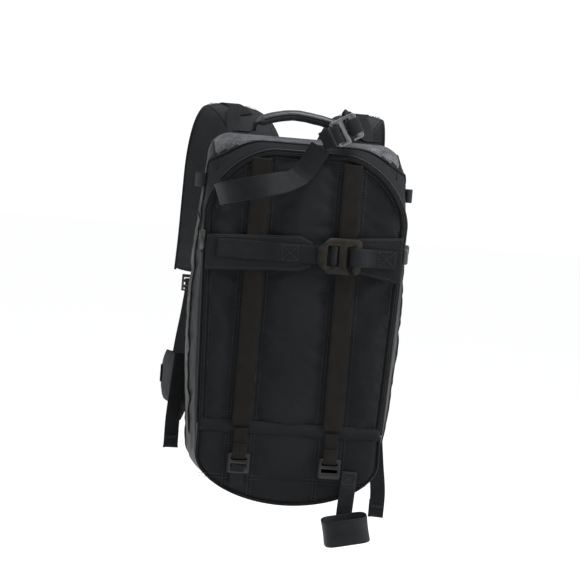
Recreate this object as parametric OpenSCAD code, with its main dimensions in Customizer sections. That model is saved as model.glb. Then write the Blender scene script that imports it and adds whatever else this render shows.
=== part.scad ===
// Ski backpack with a full-front zipped door, a hug strap, ski straps and a harness.
// Millimetres. +Z is up, the door faces -Y and the wearer's back is at +Y.
// The origin lies on the flat contact face of the middle back pad.

/* [Bag] */
// Height of the bag from its lowest seam to its top panel
bag_h = 506; // [496:1:512]
// Depth of the main compartment's shell
bag_d = 156; // [152:1:158]
// Half of the bag's width at the top corners
bag_half_w = 133; // [131:1:134]
// How far the sides bow out at the middle
side_bow = 14; // [10:1:16]
// Thickness of the shell's laminated wall
wall = 3.5; // [3:0.5:4]

/* [Door] */
// Half of the door's width at its shoulders
door_half_w = 136; // [134:1:137]
// Half of the door's width at the hinge seam
door_low_half_w = 125; // [123:1:127]
// Thickness of the padded door
door_t = 11.2; // [10:0.2:11.4]
// Radius of the door's top corners
door_corner = 90; // [84:1:96]

/* [Back panel] */
// Thickness of the foam back pads
pad_t = 18; // [16:1:20]
// Thickness of the moulded back plate
plate_t = 6; // [5:1:6]

/* [Webbing] */
// Width of the harness webbing
webbing_w = 25; // [22:1:26]
// Thickness of all webbing
webbing_t = 1.8; // [1.6:0.1:2]
// Width of the upper ski strap
ski_strap_w = 30; // [26:1:32]
// Width of the padded shoulder straps
shoulder_w = 66; // [60:1:70]
// Thickness of the padded shoulder straps
shoulder_t = 12; // [10:1:13]

/* [Metal parts] */
// Length of the flat strap hook
hook_l = 60; // [58:1:62]
// Height of the flat strap hook
hook_h = 49; // [47:1:50]
// Thickness of both flat hooks
hook_t = 3; // [2.5:0.5:3]

/* [Hidden] */

gap = 0.3;
z_low = -250;
z_high = z_low + bag_h;
z_hinge = -145;
z_door_top = z_high - 24;
y_plate = -pad_t;
y_back = y_plate - plate_t;
y_rim = y_back - bag_d;
y_door_back = y_rim - gap;
y_face = y_door_back - door_t;
y_web = y_face - gap - webbing_t;
y_wing = y_web - gap - 2.4;
hug_z = 97;
hug_x = 17;
foot_half_w = door_low_half_w + 1.5;
web_x = 62.5;
web_shift = -5;
long_webbing_w = 26;
low_corner_h = 66;
round_n = 1.75;
corner_steps = 8;
side_steps = 8;

// ---- plain geometry helpers ----
function mix(a, b, t) = a + (b - a) * t;
function unit(v) = v / norm(v);
function spow(v, p) = sign(v) * pow(abs(v), p);
function quarter(cx, cz, rx, rz, n, from, to) = [
  for (i = [0 : corner_steps]) let (a = mix(from, to, i / corner_steps))
    [cx + rx * spow(cos(a), 2 / n), cz + rz * spow(sin(a), 2 / n)]
];
function mirrored(right) = concat(right, [
  for (i = [len(right) - 1 : -1 : 0]) if (right[i][0] > 0.001) [-right[i][0], right[i][1]]
]);

// A bag section in the XZ plane: round bottom, bowed sides that may taper downwards, rounded top corners
function bag_outline(half, low_half, top, low, corner, n, bow, inset) = mirrored(concat(
  quarter(0, low + low_corner_h, low_half - inset, low_corner_h - inset, 1.95, -90, 0),
  [for (i = [1 : side_steps - 1]) let (t = i / side_steps)
    [mix(low_half, half, t) - inset + bow * sin(180 * t), mix(low + low_corner_h, top - corner, t)]],
  quarter(half - corner, top - corner, corner - inset, corner - inset, n, 0, 90)
));

// The door's outline, grown by a margin; its foot is straight
function door_outline(grow, foot) = mirrored(concat(
  [[door_low_half_w + grow, foot]],
  quarter(door_half_w - door_corner, z_door_top - door_corner,
          door_corner + grow, door_corner + grow, round_n, 0, 90)
));

// Catmull-Rom curve through hand-placed points
function curve_point(a, b, c, d, t) =
  0.5 * (2 * b + (c - a) * t + (2 * a - 5 * b + 4 * c - d) * t * t
  + (3 * b - a - 3 * c + d) * t * t * t);
function smooth(p, k) = concat([
  for (i = [0 : len(p) - 2], j = [0 : k - 1])
    curve_point(p[max(i - 1, 0)], p[i], p[i + 1], p[min(i + 2, len(p) - 1)], j / k)
], [p[len(p) - 1]]);

function reversed(list) = [for (i = [len(list) - 1 : -1 : 0]) list[i]];
module loft(rings) {
  n = len(rings[0]);
  last = (len(rings) - 1) * n;
  sides = [
    for (k = [0 : len(rings) - 2], i = [0 : n - 1])
      let (a = k * n + i, b = k * n + (i + 1) % n) each [[a, b + n, b], [a, a + n, b + n]]
  ];
  caps = [[for (i = [0 : n - 1]) i], [for (i = [n - 1 : -1 : 0]) last + i]];
  polyhedron(points = [for (r = rings) each r], faces = concat(sides, caps));
}

// A flat strap swept along a path; across holds the direction of its width at each point.
// It may cover only a part of the path, or be lifted off it to lie on another strap.
module strap(path, across, width, thick, lift = 0, first = 0, left_out = 0) {
  last = len(path) - 1;
  rings = [
    for (i = [first : last - left_out])
      let (t = unit(path[min(i + 1, last)] - path[max(i - 1, 0)]),
           a = unit(across[i] - t * (t * across[i])), n = cross(t, a),
           p = path[i] - n * lift, w = a * width / 2, h = n * thick / 2)
        [p + w + h, p - w + h, p - w - h, p + w - h]
  ];
  loft(rings);
}
function same(path, v) = [for (p = path) v];

// Extrusions of a flat outline along each axis
module slab_y(front, back) {
  translate([0, back, 0]) rotate([90, 0, 0]) linear_extrude(back - front) children();
}
module slab_x(low, high) {
  translate([low, 0, 0]) rotate([90, 0, 90]) linear_extrude(high - low) children();
}
module slab_z(low, high) {
  translate([0, 0, low]) linear_extrude(high - low) children();
}
module rounded(w, h, r) {
  translate([r, 0]) square([w - 2 * r, h]);
  translate([0, r]) square([w, h - 2 * r]);
  for (x = [r, w - r], y = [r, h - r]) translate([x, y]) circle(r, $fn = 32);
}
module both() { children(); mirror([1, 0, 0]) children(); }

// ---- bag ----
function shell_rings(inset, front, back) = [
  for (r = [
    [front, door_half_w + 3, foot_half_w, z_door_top + 4, -246, 92, round_n, 0],
    [y_rim + 8, door_half_w + 2, foot_half_w + 1, z_door_top + 10, -247, 84, round_n, 4],
    [y_rim + 30, bag_half_w + 4, bag_half_w - 1, z_high - 7, -249, 50, 2, 11],
    [y_rim + 65, bag_half_w + 2, bag_half_w + 2, z_high - 1, z_low, 34, 2, side_bow],
    [y_rim + 105, bag_half_w + 1, bag_half_w + 1, z_high, z_low, 30, 2, side_bow],
    [y_rim + 140, bag_half_w, bag_half_w, z_high - 2, -249, 30, 2, side_bow - 7],
    [back, bag_half_w - 3, bag_half_w - 3, z_high - 6, -247, 32, 2, 6]
  ]) [for (p = bag_outline(r[1], r[2], r[3], r[4], r[5], r[6], r[7], inset)) [p[0], r[0], p[1]]]
];

// One skin that runs forward along the outside, round the rim and back along the inside
module main_shell() {
  color("#2b2e31")
  loft(concat(reversed(shell_rings(0, y_rim, y_back)), shell_rings(wall, y_rim, y_back - wall)));
}

module lower_front_panel() {
  color("#24272a")
  slab_y(y_face, y_rim - gap)
    intersection() {
      polygon(bag_outline(door_half_w + 3, foot_half_w, z_door_top, z_low, 92, 2, 0, 1));
      translate([-160, z_low]) square([320, z_hinge - gap - z_low]);
    }
}

module main_zip() {
  color("#17191a")
  slab_y(y_rim - 5, y_rim - gap)
    difference() {
      polygon(door_outline(3.4, z_hinge));
      polygon(door_outline(2 * gap, z_hinge - 1));
    }
}

module back_plate() {
  color("#1d1f21")
  slab_y(y_back + 0.1, y_plate - 0.1)
    polygon(bag_outline(bag_half_w - 6, bag_half_w - 6, z_high - 10, z_low + 4, 34, 2, 4, 0));
}

module back_pad(x, z, w, h) {
  color("#33373a")
  slab_y(y_plate, 0) translate([x, z]) rounded(w, h, 16);
}
module upper_back_pad() { back_pad(-95, 90, 190, 110); }
module middle_back_pad() { back_pad(-95, -65, 190, 145); }
module lower_back_pad() { back_pad(-100, -175, 200, 100); }

module frame_sheet() {
  color("#0e0f10")
  slab_y(y_back - wall - 3, y_back - wall - 0.5) translate([-105, -180]) rounded(210, 395, 20);
}

module frame_stays() {
  color("#b9bdc0")
  for (x = [-66, 54])
    slab_y(y_back - wall - 6.5, y_back - wall - 3.2) translate([x, -175]) rounded(12, 380, 5);
}

module tool_sleeve() {
  color("#5b5f62")
  slab_y(y_back - wall - 18, y_back - wall - 7)
    difference() {
      translate([-98, -170]) rounded(196, 300, 12);
      translate([-90, -162]) square([86, 300]);
      translate([4, -162]) square([86, 300]);
    }
  color("#5b5f62")
  slab_y(y_back - wall - 19.2, y_back - wall - 18) translate([-98, -170]) rounded(196, 270, 12);
}

module hydration_hanger() {
  color("#16181a")
  translate([0, y_back - wall - 11.2, 205])
    difference() {
      translate([-14, -3, -6]) cube([28, 11, 18]);
      translate([-9, -5, -1]) cube([18, 20, 6]);
    }
}

module hang_loop() {
  color("#1b1d1f")
  slab_x(-11, 11)
    difference() {
      translate([y_plate + 1, 206]) rounded(11, 30, 4);
      translate([y_plate + 3, 209]) rounded(7, 24, 3);
    }
}

// ---- harness ----
shoulder_path = smooth([
  [50, -9, 211], [58, 3, 240], [74, 26, 272], [90, 62, 290], [102, 102, 293], [112, 146, 270],
  [118, 180, 225], [121, 196, 160], [124, 194, 92], [127, 182, 42]
], 4);
shoulder_across = [
  for (i = [0 : len(shoulder_path) - 1]) let (t = i / (len(shoulder_path) - 1)) [1, 0.06 - 0.3 * t, 0]
];

module shoulder_strap() { color("#24272a") strap(shoulder_path, shoulder_across, shoulder_w, shoulder_t); }
module shoulder_webbing() {
  color("#3a3d3f")
  strap(shoulder_path, shoulder_across, webbing_w, webbing_t,
        lift = (shoulder_t + webbing_t) / 2 + 6 * gap, first = 7, left_out = 1);
}
module load_lifter() {
  path = [[97, -21, 248.5], [97, -8, 264], [96, 14, 282], [94.3, 34.5, 290.5]];
  color("#3a3d3f") strap(path, same(path, [1, 0, 0]), 20, webbing_t);
}
module lower_webbing() {
  path = smooth([
    [128, 172, 8], [132, 158, -22], [140, 118, -66], [147, 60, -106], [145, 5, -138], [138.5, -24, -152]
  ], 4);
  across = [for (i = [0 : len(path) - 1]) let (t = i / (len(path) - 1)) [1 - t, 0.4 * t, 0.75 * t]];
  color("#2d3032") strap(path, across, webbing_w, webbing_t);
}
module ladder_lock() {
  color("#121314")
  translate([127.5, 179, 26]) rotate([-22, 0, 3])
    difference() {
      translate([-17, -2.5, -13]) cube([34, 5, 26]);
      translate([-13.5, -4, 5]) cube([27, 8, 4]);
      translate([-13.5, -4, -4]) cube([27, 8, 5]);
      translate([-13.5, -4, -11]) cube([27, 8, 3]);
    }
}
module webbing_tail(side, z_from, z_to, x_from, x_to) {
  path = smooth([[x_from, -16, z_from], [mix(x_from, x_to, 0.5), -13, mix(z_from, z_to, 0.35)],
    [x_to, -11, mix(z_from, z_to, 0.7)], [x_to, -12, z_to]], 4);
  color("#1d1f20") strap(path, same(path, [1, 0.3 * side, 0]), 22, 2 * webbing_t);
}

// Flat outlines that follow a path in plan, as wide as a pad or a strap
function beside(path, shift) = [
  for (i = [0 : len(path) - 1])
    let (t = unit(path[min(i + 1, len(path) - 1)] - path[max(i - 1, 0)])) path[i] + [t[1], -t[0]] * shift
];
module ribbon(path, thick) { polygon(concat(beside(path, thick / 2), reversed(beside(path, -thick / 2)))); }

belt_t = 12;
belt_z = -145;
belt_h = 70;
buckle_y = 236;
belt_path = smooth([[105, -10], [128, 4], [147, 36], [158, 80], [161, 122], [154, 160], [136, 190]], 4);
belt_webbing = concat(
  [for (i = [16 : 24]) beside(belt_path, (belt_t + webbing_t) / 2 + gap)[i]],
  [[122, 212], [100, 227], [62, buckle_y], [29, buckle_y]]
);
module hip_belt() {
  color("#24272a") slab_z(belt_z, belt_z + belt_h) ribbon(belt_path, belt_t);
}
module hip_webbing() {
  middle = belt_z + belt_h / 2;
  color("#2d3032") slab_z(middle - webbing_w / 2, middle + webbing_w / 2) ribbon(belt_webbing, webbing_t);
}

// Side-release buckle lying along X, with its webbing passage on the plug's right end
module buckle_socket(w, h) {
  color("#121314")
  difference() {
    translate([-w / 2, -5, -h / 2]) cube([w / 2 + 4, 10, h]);
    translate([-w / 2 + 12, -3, -h / 2 + 4]) cube([w / 2, 6, h - 8]);
    translate([-w / 2 + 3, -6, -h / 2 + 3]) cube([3, 12, h - 6]);
    translate([-w / 2 - 1, -webbing_t / 2 - 0.4, -h / 2 + 2.5]) cube([8.5, webbing_t + 0.8, h - 5]);
  }
}
module buckle_plug(w, h) {
  color("#121314")
  difference() {
    union() {
      translate([4.4, -5, -h / 2]) cube([w / 2 - 4.4, 10, h]);
      translate([-w / 2 + 13, -2.6, -h / 2 + 4.4]) cube([w / 2 - 8, 5.2, h - 8.8]);
    }
    translate([6, -webbing_t / 2 - 0.4, -h / 2 + 2.5]) cube([w, webbing_t + 0.8, h - 5]);
    translate([-w / 2 + 22, -4, -4]) cube([16, 8, 8]);
  }
}
hip_buckle_at = [0, buckle_y, belt_z + belt_h / 2];
module hip_buckle_socket() { translate(hip_buckle_at) buckle_socket(62, 36); }
module hip_buckle_plug() { translate(hip_buckle_at) buckle_plug(62, 36); }

sternum_at = [0, 214, 140];
module sternum_buckle_socket() { translate(sternum_at) buckle_socket(40, 26); }
module sternum_buckle_plug() { translate(sternum_at) buckle_plug(40, 26); }
module sternum_webbing() {
  color("#2d3032")
  translate(sternum_at)
    slab_z(-9, 9) polygon([
      [18, -webbing_t / 2], [70, -webbing_t / 2], [88, -3.6], [136, -3.6],
      [136, -3.6 + webbing_t], [88, -3.6 + webbing_t], [70, webbing_t / 2], [18, webbing_t / 2]
    ]);
}

// ---- top ----
handle_y = -100;
module haul_handle() {
  path = smooth([[-70, handle_y, 272], [-58, handle_y, 277], [-42, handle_y, 282], [-18, handle_y, 285.5],
    [14, handle_y, 282], [40, handle_y, 276], [58, handle_y, 272.5], [70, handle_y, 270]], 3);
  color("#5b6466") strap(path, same(path, [0, 1, 0]), 26, 15);
}
// A flat patch and an upright tab at each foot of the handle
module handle_anchors() {
  color("#2d3032")
  both() slab_y(handle_y - 14, handle_y + 14)
    polygon([
      [74, z_high + gap], [104, z_high + gap], [104, z_high + 2], [76, z_high + 2], [76, 272], [74, 272]
    ]);
}

// The tongue of webbing from the right shoulder strap that the ski hook goes round
ski_slope = 30;
ski_hook_at = [46, -199, 270];
module ski_catch() {
  path = smooth([[76, 42, 296], [70, 0, 296], [65, -50, 295.5], [60, -100, 294], [54, -140, 285],
    [48.5, -180, 272.5], [46.7, -199, 270.4], [46, -209, 270.2]], 4);
  across = [
    for (i = [0 : len(path) - 1]) let (a = (90 - ski_slope) * min(1, 1.1 * i / (len(path) - 1)))
      [cos(a), 0, -sin(a)]
  ];
  color("#3a3d3f") strap(path, across, 22, webbing_t);
}

module ski_hook() {
  color("#b9bdc0")
  translate(ski_hook_at) rotate([0, -ski_slope, 0])
    slab_y(-hook_t / 2, hook_t / 2)
      difference() {
        translate([-22, -18]) rounded(38, 36, 4);
        translate([-17, -14]) square([7, 28]);
        translate([-3.5, -14]) square([9, 28]);
        translate([-3.5, -19]) square([4, 8]);
      }
}

// Folded webbing that ties the ski strap to the ski hook's near bar
module ski_keeper() {
  color("#2d3032")
  translate(ski_hook_at) rotate([0, -ski_slope, 0])
    slab_z(-13, 13)
      difference() {
        translate([-36, -5]) rounded(23, 10, 2.5);
        translate([-24, -2.6]) square([9, 5.2]);
      }
}

module ski_strap() {
  path = smooth([
    [-118, y_face - 2.6, 166], [-124, -215, 167], [-126, -250, 169], [-118, -284, 172], [-100, -301, 177],
    [-74, -303, 184], [-53, -290, 189], [-38, -258, 193], [-27, -225, 196], [-19, -203, 199],
    [-11, -197, 207], [-3, -196.5, 219], [5, -197.5, 233], [10, -199, 243]
  ], 4);
  half = len(path) / 2;
  across = [
    for (i = [0 : len(path) - 1]) let (t = min(1, max(0, (i - half) / 16)))
      [mix(-0.34, -0.85, t), 0, mix(0.94, 0.52, t)]
  ];
  color("#2d3032") strap(path, across, ski_strap_w, webbing_t);
}

// ---- lower end ----
module lower_ski_loop() {
  color("#141516")
  translate([83, y_face - 30, -272]) rotate([0, -12, 0])
    slab_z(-18, 18)
      difference() {
        translate([-31, -27]) rounded(62, 54, 22);
        translate([-28.5, -24.5]) rounded(57, 49, 20);
      }
  color("#141516")
  slab_y(y_face - 3.4, y_face - gap)
    polygon([[68, -284], [92, -288], [95, -240], [95, -196], [76, -196], [73, -240]]);
}

module lower_straps() {
  color("#3a3733")
  translate([web_shift, 0, 0]) both()
    slab_y(y_face - gap - webbing_t, y_face - gap)
      polygon([
        [web_x - 10, -190], [web_x + 10, -190],
        [web_x + long_webbing_w / 2, z_hinge - 1], [web_x - long_webbing_w / 2, z_hinge - 1]
      ]);
}
module lower_buckle(x) {
  color("#141516")
  slab_y(y_face - 6.4, y_face - 3.4)
    translate([x, -208])
      difference() {
        translate([-15, 0]) rounded(30, 27, 3);
        translate([-11, 18]) square([22, 4]);
        translate([-11, 8]) square([22, 5]);
      }
}

// Webbing tabs sewn along the sides, folded over at their front ends
module side_tabs() {
  color("#2d3032")
  both() slab_z(176, 196) polygon([[144, -154], [149.5, -128], [149.5, -98], [151.3, -98], [151.3, -128.3],
    [146, -158], [142.4, -158]]);
}

// ---- door ----
module front_panel() {
  color("#1f2225") slab_y(y_face, y_door_back) polygon(door_outline(0, z_hinge + gap));
}
module door_pocket() {
  color("#44484b") slab_y(y_door_back + gap, y_door_back + 4) translate([-95, -110]) rounded(190, 220, 12);
}
module vertical_webbing() {
  color("#33302c")
  translate([web_shift, 0, 0]) both()
    slab_y(y_web, y_face - gap)
      polygon([
        [web_x - long_webbing_w / 2, z_hinge + 2.5], [web_x + long_webbing_w / 2, z_hinge + 2.5],
        [web_x + long_webbing_w / 2, z_door_top - 15], [web_x - long_webbing_w / 2, z_door_top - 9]
      ]);
}
module left_wing() {
  color("#26292c")
  slab_y(y_wing, y_web - gap) polygon([[-132, 66], [-134, 114], [-7, 121], [8, 113], [11, 79], [-4, 73]]);
}
module right_wing() {
  color("#26292c")
  slab_y(y_wing, y_web - gap) polygon([[72, 76], [72, 123], [134, 128], [132, 64]]);
}
// Webbing sewn on the left wing; its end passes behind the hook and turns round the hook's thin bar
hook_gap = 2.8;
hook_back = y_wing - gap - webbing_t - hook_gap;
hook_bar = 22.5;
module hug_webbing() {
  front = hook_back - hook_t - 0.8;
  back = y_wing - gap;
  bar = hug_x + hook_bar;
  fold = 4.4;
  color("#2d3032")
  slab_z(hug_z - 12.5, hug_z + 12.5)
    difference() {
      polygon([
        [-120, back], [-120, back - webbing_t], [bar - fold, back - webbing_t],
        [bar - fold, front - webbing_t], [bar + fold, front - webbing_t], [bar + fold, back]
      ]);
      translate([bar - fold + webbing_t, front]) square([2 * (fold - webbing_t), back - webbing_t - front]);
    }
}
module hug_loop() {
  front = hook_back - hook_t - 6.5;
  back = y_wing - gap;
  color("#2d3032")
  slab_z(hug_z - 12.5, hug_z + 12.5)
    difference() {
      polygon([[61.6, back], [61.6, front - webbing_t], [82, front - webbing_t], [94, back - webbing_t],
        [128, back - webbing_t], [128, back]]);
      polygon([[63.4, back - webbing_t], [63.4, front], [81, front], [91, back - webbing_t]]);
    }
}
// Two slots beside the thin bar take the webbing; the open slot hooks into the loop
module hug_hook() {
  color("#3a362d")
  slab_y(hook_back - hook_t, hook_back)
    translate([hug_x, hug_z - hook_h / 2])
      difference() {
        polygon([[0, 13], [15, 0], [hook_l - 5, 0], [hook_l, 5], [hook_l, hook_h - 4], [hook_l - 4, hook_h],
          [16, hook_h], [0, hook_h - 15]]);
        translate([13.5, 10.5]) square([7, 28]);
        translate([24.5, 10.5]) square([4.8, 28]);
        translate([40, 10.5]) square([9.5, 28]);
        polygon([[40, 11], [46, -1], [52, -1], [46.5, 11]]);
      }
}

module zip_slider() {
  color("#4a4d4f")
  translate([door_half_w + 3.4, 0, 112])
    union() {
      slab_y(y_rim - 9, y_rim - 5.4) translate([-3.6, -7]) rounded(8, 14, 3);
      slab_y(y_rim - 11, y_rim - 9) translate([-3, -20]) rounded(6.5, 22, 3);
    }
}

main_shell();
lower_front_panel();
main_zip();
back_plate();
frame_sheet();
frame_stays();
upper_back_pad();
middle_back_pad();
lower_back_pad();
tool_sleeve();
hydration_hanger();
hang_loop();
mirror([1, 0, 0]) shoulder_strap();  // shoulder_strap_left
shoulder_strap();  // shoulder_strap_right
mirror([1, 0, 0]) shoulder_webbing();  // shoulder_webbing_left
shoulder_webbing();  // shoulder_webbing_right
mirror([1, 0, 0]) load_lifter();  // load_lifter_left
load_lifter();  // load_lifter_right
mirror([1, 0, 0]) lower_webbing();  // lower_webbing_left
lower_webbing();  // lower_webbing_right
webbing_tail(1, -66, -201, -146, -152);  // webbing_tail_left
webbing_tail(-1, -166, -284, 144, 156);  // webbing_tail_right
mirror([1, 0, 0]) hip_belt();  // hip_belt_left
hip_belt();  // hip_belt_right
mirror([1, 0, 0]) hip_webbing();  // hip_webbing_left
hip_webbing();  // hip_webbing_right
hip_buckle_socket();
hip_buckle_plug();
mirror([1, 0, 0]) sternum_webbing();  // sternum_webbing_left
sternum_webbing();  // sternum_webbing_right
sternum_buckle_socket();
sternum_buckle_plug();
ski_catch();
lower_ski_loop();
lower_straps();
lower_buckle(web_shift - web_x);  // lower_buckle_left
lower_buckle(web_shift + web_x);  // lower_buckle_right
side_tabs();
handle_anchors();
haul_handle();
front_panel();
door_pocket();
vertical_webbing();
left_wing();
right_wing();
hug_webbing();
hug_loop();
hug_hook();
ski_strap();
ski_keeper();
ski_hook();
mirror([1, 0, 0]) zip_slider();  // zip_slider_left
zip_slider();  // zip_slider_right
mirror([1, 0, 0]) ladder_lock();  // ladder_lock_left
ladder_lock();  // ladder_lock_right
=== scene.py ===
import math
import random

import bmesh
import bpy
from mathutils import Matrix, Quaternion, Vector, noise


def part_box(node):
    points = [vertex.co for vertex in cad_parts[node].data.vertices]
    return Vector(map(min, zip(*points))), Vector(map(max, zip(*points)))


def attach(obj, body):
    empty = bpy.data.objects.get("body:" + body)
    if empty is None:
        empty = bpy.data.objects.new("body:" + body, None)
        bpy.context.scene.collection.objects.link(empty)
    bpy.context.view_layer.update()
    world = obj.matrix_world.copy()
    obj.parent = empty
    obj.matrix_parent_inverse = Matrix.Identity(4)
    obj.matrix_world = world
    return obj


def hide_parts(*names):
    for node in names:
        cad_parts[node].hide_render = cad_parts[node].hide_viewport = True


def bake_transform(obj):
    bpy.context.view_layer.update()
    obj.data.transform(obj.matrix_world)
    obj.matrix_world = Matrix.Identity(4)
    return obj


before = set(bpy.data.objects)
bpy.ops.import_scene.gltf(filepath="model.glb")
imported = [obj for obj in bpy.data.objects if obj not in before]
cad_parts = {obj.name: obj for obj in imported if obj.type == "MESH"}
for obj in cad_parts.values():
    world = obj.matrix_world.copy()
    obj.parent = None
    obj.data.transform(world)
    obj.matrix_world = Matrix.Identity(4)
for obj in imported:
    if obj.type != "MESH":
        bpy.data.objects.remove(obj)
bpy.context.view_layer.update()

MM = 0.001

# ---------------------------------------------------------------- places read from the frame
DOOR_LOW, DOOR_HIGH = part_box("front_panel")
SHELL_LOW, SHELL_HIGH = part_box("main_shell")
Y_FACE = DOOR_LOW.y / MM
Y_RIM = SHELL_LOW.y / MM
Y_BACK = SHELL_HIGH.y / MM
Z_FOOT = DOOR_LOW.z / MM
Z_DOOR = DOOR_HIGH.z / MM
Z_LOW = SHELL_LOW.z / MM
Z_HIGH = SHELL_HIGH.z / MM
DOOR_HALF = DOOR_HIGH.x / MM
DOOR_LOW_HALF = DOOR_HALF - 11
FOOT_HALF = DOOR_LOW_HALF + 1.5
CORNER = 90
FOOT_RISE = 66
EDGE_BAND = 5.5
WEB_X = 62.5
WEB_SHIFT = -5.0
WEB = 1.8
PAD_Y = Y_FACE + 5.2
Y_WEB = Y_FACE - 2.1
Y_WING = Y_WEB - 2.7
SEAM_FRONT = Y_RIM + 34
SEAM_TOP = Y_RIM + 15
SEAM_BACK = Y_RIM + 138
TOP_SEAM_Z = 228.0


# ---------------------------------------------------------------- shader building
class Shader:
    """A material whose nodes are added with short calls."""

    def __init__(self, name):
        self.material = bpy.data.materials.new(name)
        self.material.use_nodes = True
        self.tree = self.material.node_tree
        self.bsdf = self.tree.nodes["Principled BSDF"]

    def add(self, kind, inputs=None, **properties):
        made = self.tree.nodes.new(kind)
        for key, value in properties.items():
            setattr(made, key, value)
        for key, value in (inputs or {}).items():
            self.feed(made.inputs[key], value)
        return made

    def feed(self, socket, value):
        if isinstance(value, bpy.types.NodeSocket):
            self.tree.links.new(value, socket)
        elif isinstance(value, bpy.types.Node):
            self.tree.links.new(value.outputs[0], socket)
        else:
            socket.default_value = value

    def math(self, operation, a, b=0.0, clamp=False):
        made = self.add("ShaderNodeMath", {0: a, 1: b}, operation=operation)
        made.use_clamp = clamp
        return made.outputs[0]

    def mix(self, factor, a, b):
        made = self.add("ShaderNodeMix", data_type="RGBA")
        self.feed(made.inputs[0], factor)
        self.feed(made.inputs[6], a)
        self.feed(made.inputs[7], b)
        return made.outputs[2]

    def noise(self, coords, scale, detail=3.0, roughness=0.55):
        made = self.add("ShaderNodeTexNoise", {"Vector": coords, "Scale": scale, "Detail": detail,
                                               "Roughness": roughness})
        return made.outputs[0]

    def ramp(self, value, low, high):
        made = self.add("ShaderNodeMapRange", {0: value, 1: low, 2: high})
        made.clamp = True
        return made.outputs[0]

    def scaled(self, coords, x, y, z):
        return self.add("ShaderNodeMapping", {"Vector": coords, "Scale": (x, y, z)}).outputs[0]

    def bump(self, height, strength, distance, normal=None):
        made = self.add("ShaderNodeBump", {"Height": height, "Strength": strength, "Distance": distance})
        if normal is not None:
            self.feed(made.inputs["Normal"], normal)
        return made.outputs[0]

    def set(self, **inputs):
        names = {"color": "Base Color", "rough": "Roughness", "metal": "Metallic", "normal": "Normal",
                 "sheen": "Sheen Weight", "sheen_rough": "Sheen Roughness", "coat": "Coat Weight",
                 "coat_rough": "Coat Roughness", "specular": "Specular IOR Level"}
        for key, value in inputs.items():
            self.feed(self.bsdf.inputs[names[key]], value)
        return self.material


def grey(value, tint=(1.0, 1.0, 1.0)):
    return (value * tint[0], value * tint[1], value * tint[2], 1.0)


COOL = (0.93, 1.0, 1.1)
WARM = (1.1, 1.0, 0.88)


def thread_height(s, coords, pitch):
    """Over-and-under threads of a plain weave, from coordinates in metres."""
    split = s.add("ShaderNodeSeparateXYZ", {0: coords})
    u = s.math("MULTIPLY", split.outputs[0], 1 / pitch)
    v = s.math("MULTIPLY", split.outputs[1], 1 / pitch)
    warp = s.math("ABSOLUTE", s.math("SINE", s.math("MULTIPLY", u, math.pi)))
    weft = s.math("ABSOLUTE", s.math("SINE", s.math("MULTIPLY", v, math.pi)))
    cell = s.math("ADD", s.math("FLOOR", u), s.math("FLOOR", v))
    over = s.math("PINGPONG", cell, 1.0)
    picked = s.add("ShaderNodeMix", data_type="FLOAT")
    s.feed(picked.inputs[0], over)
    s.feed(picked.inputs[2], warp)
    s.feed(picked.inputs[3], weft)
    return picked.outputs[0]


def woven(name, low, high, pitch, rough=0.72, sheen=0.03, weave=0.35, crease=0.25, tint=COOL, coat=0.0):
    """Woven nylon: threads from the UV map, broad colour variation and soft creases."""
    s = Shader(name)
    uv = s.add("ShaderNodeTexCoord").outputs["UV"]
    place = s.add("ShaderNodeTexCoord").outputs["Object"]
    threads = thread_height(s, uv, pitch)
    broad = s.noise(place, 9.0, 4.0)
    fine = s.noise(place, 160.0, 2.0)
    shade = s.math("ADD", s.math("MULTIPLY", broad, 0.7), s.math("MULTIPLY", fine, 0.3))
    color = s.mix(s.ramp(shade, 0.3, 0.7), grey(low, tint), grey(high, tint))
    color = s.mix(s.math("MULTIPLY", threads, 0.25), color, grey(high * 1.5, tint))
    folds = s.bump(s.noise(s.scaled(place, 1.0, 1.0, 0.6), 38.0, 3.0), crease, 0.003)
    normal = s.bump(threads, weave, pitch * 0.3, folds)
    roughness = s.math("ADD", rough - 0.06, s.math("MULTIPLY", fine, 0.12))
    return s.set(color=color, rough=roughness, sheen=sheen, sheen_rough=0.4, normal=normal, coat=coat,
                 coat_rough=0.35, specular=0.09)


def coated(name, low, high, rough=0.42, wrinkle=0.5, coat=0.25, tint=COOL):
    """Polyurethane-coated cloth: a satin skin with fine creases over a faint grid of threads."""
    s = Shader(name)
    uv = s.add("ShaderNodeTexCoord").outputs["UV"]
    place = s.add("ShaderNodeTexCoord").outputs["Object"]
    stretched = s.scaled(place, 1.0, 0.8, 0.45)
    creases = s.noise(stretched, 46.0, 5.0, 0.6)
    broad = s.noise(place, 7.0, 3.0)
    scuff = s.ramp(s.noise(place, 210.0, 2.0), 0.55, 0.8)
    color = s.mix(s.ramp(broad, 0.35, 0.65), grey(low, tint), grey(high, tint))
    color = s.mix(s.math("MULTIPLY", scuff, 0.3), color, grey(high * 2.2, tint))
    base = s.bump(creases, wrinkle, 0.004)
    normal = s.bump(thread_height(s, uv, 0.0012), 0.12, 0.0003, base)
    roughness = s.math("ADD", rough - 0.08, s.math("MULTIPLY", creases, 0.2))
    return s.set(color=color, rough=roughness, coat=coat, coat_rough=0.3, sheen=0.02, normal=normal, specular=0.14)


def mottled_and_lit_from_above(name):
    """The rough top panel: a grainy pattern over dark cloth; its pale tone is painted light from above, a painted
    highlight, while the grain itself is the cloth's own.
    """
    s = Shader(name)
    place = s.add("ShaderNodeTexCoord").outputs["Object"]
    grain = s.noise(place, 330.0, 4.0, 0.7)
    patch = s.noise(place, 60.0, 3.0)
    value = s.math("ADD", s.math("MULTIPLY", grain, 0.7), s.math("MULTIPLY", patch, 0.35))
    # Painted highlight: the pale end of this range stands in for light falling on the top from above; the grain
    # pattern is the cloth's own.
    color = s.mix(s.ramp(value, 0.42, 0.66), grey(0.012, COOL), grey(0.1, COOL))
    return s.set(color=color, rough=0.7, sheen=0.05, specular=0.25, normal=s.bump(grain, 0.5, 0.0012))


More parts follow.
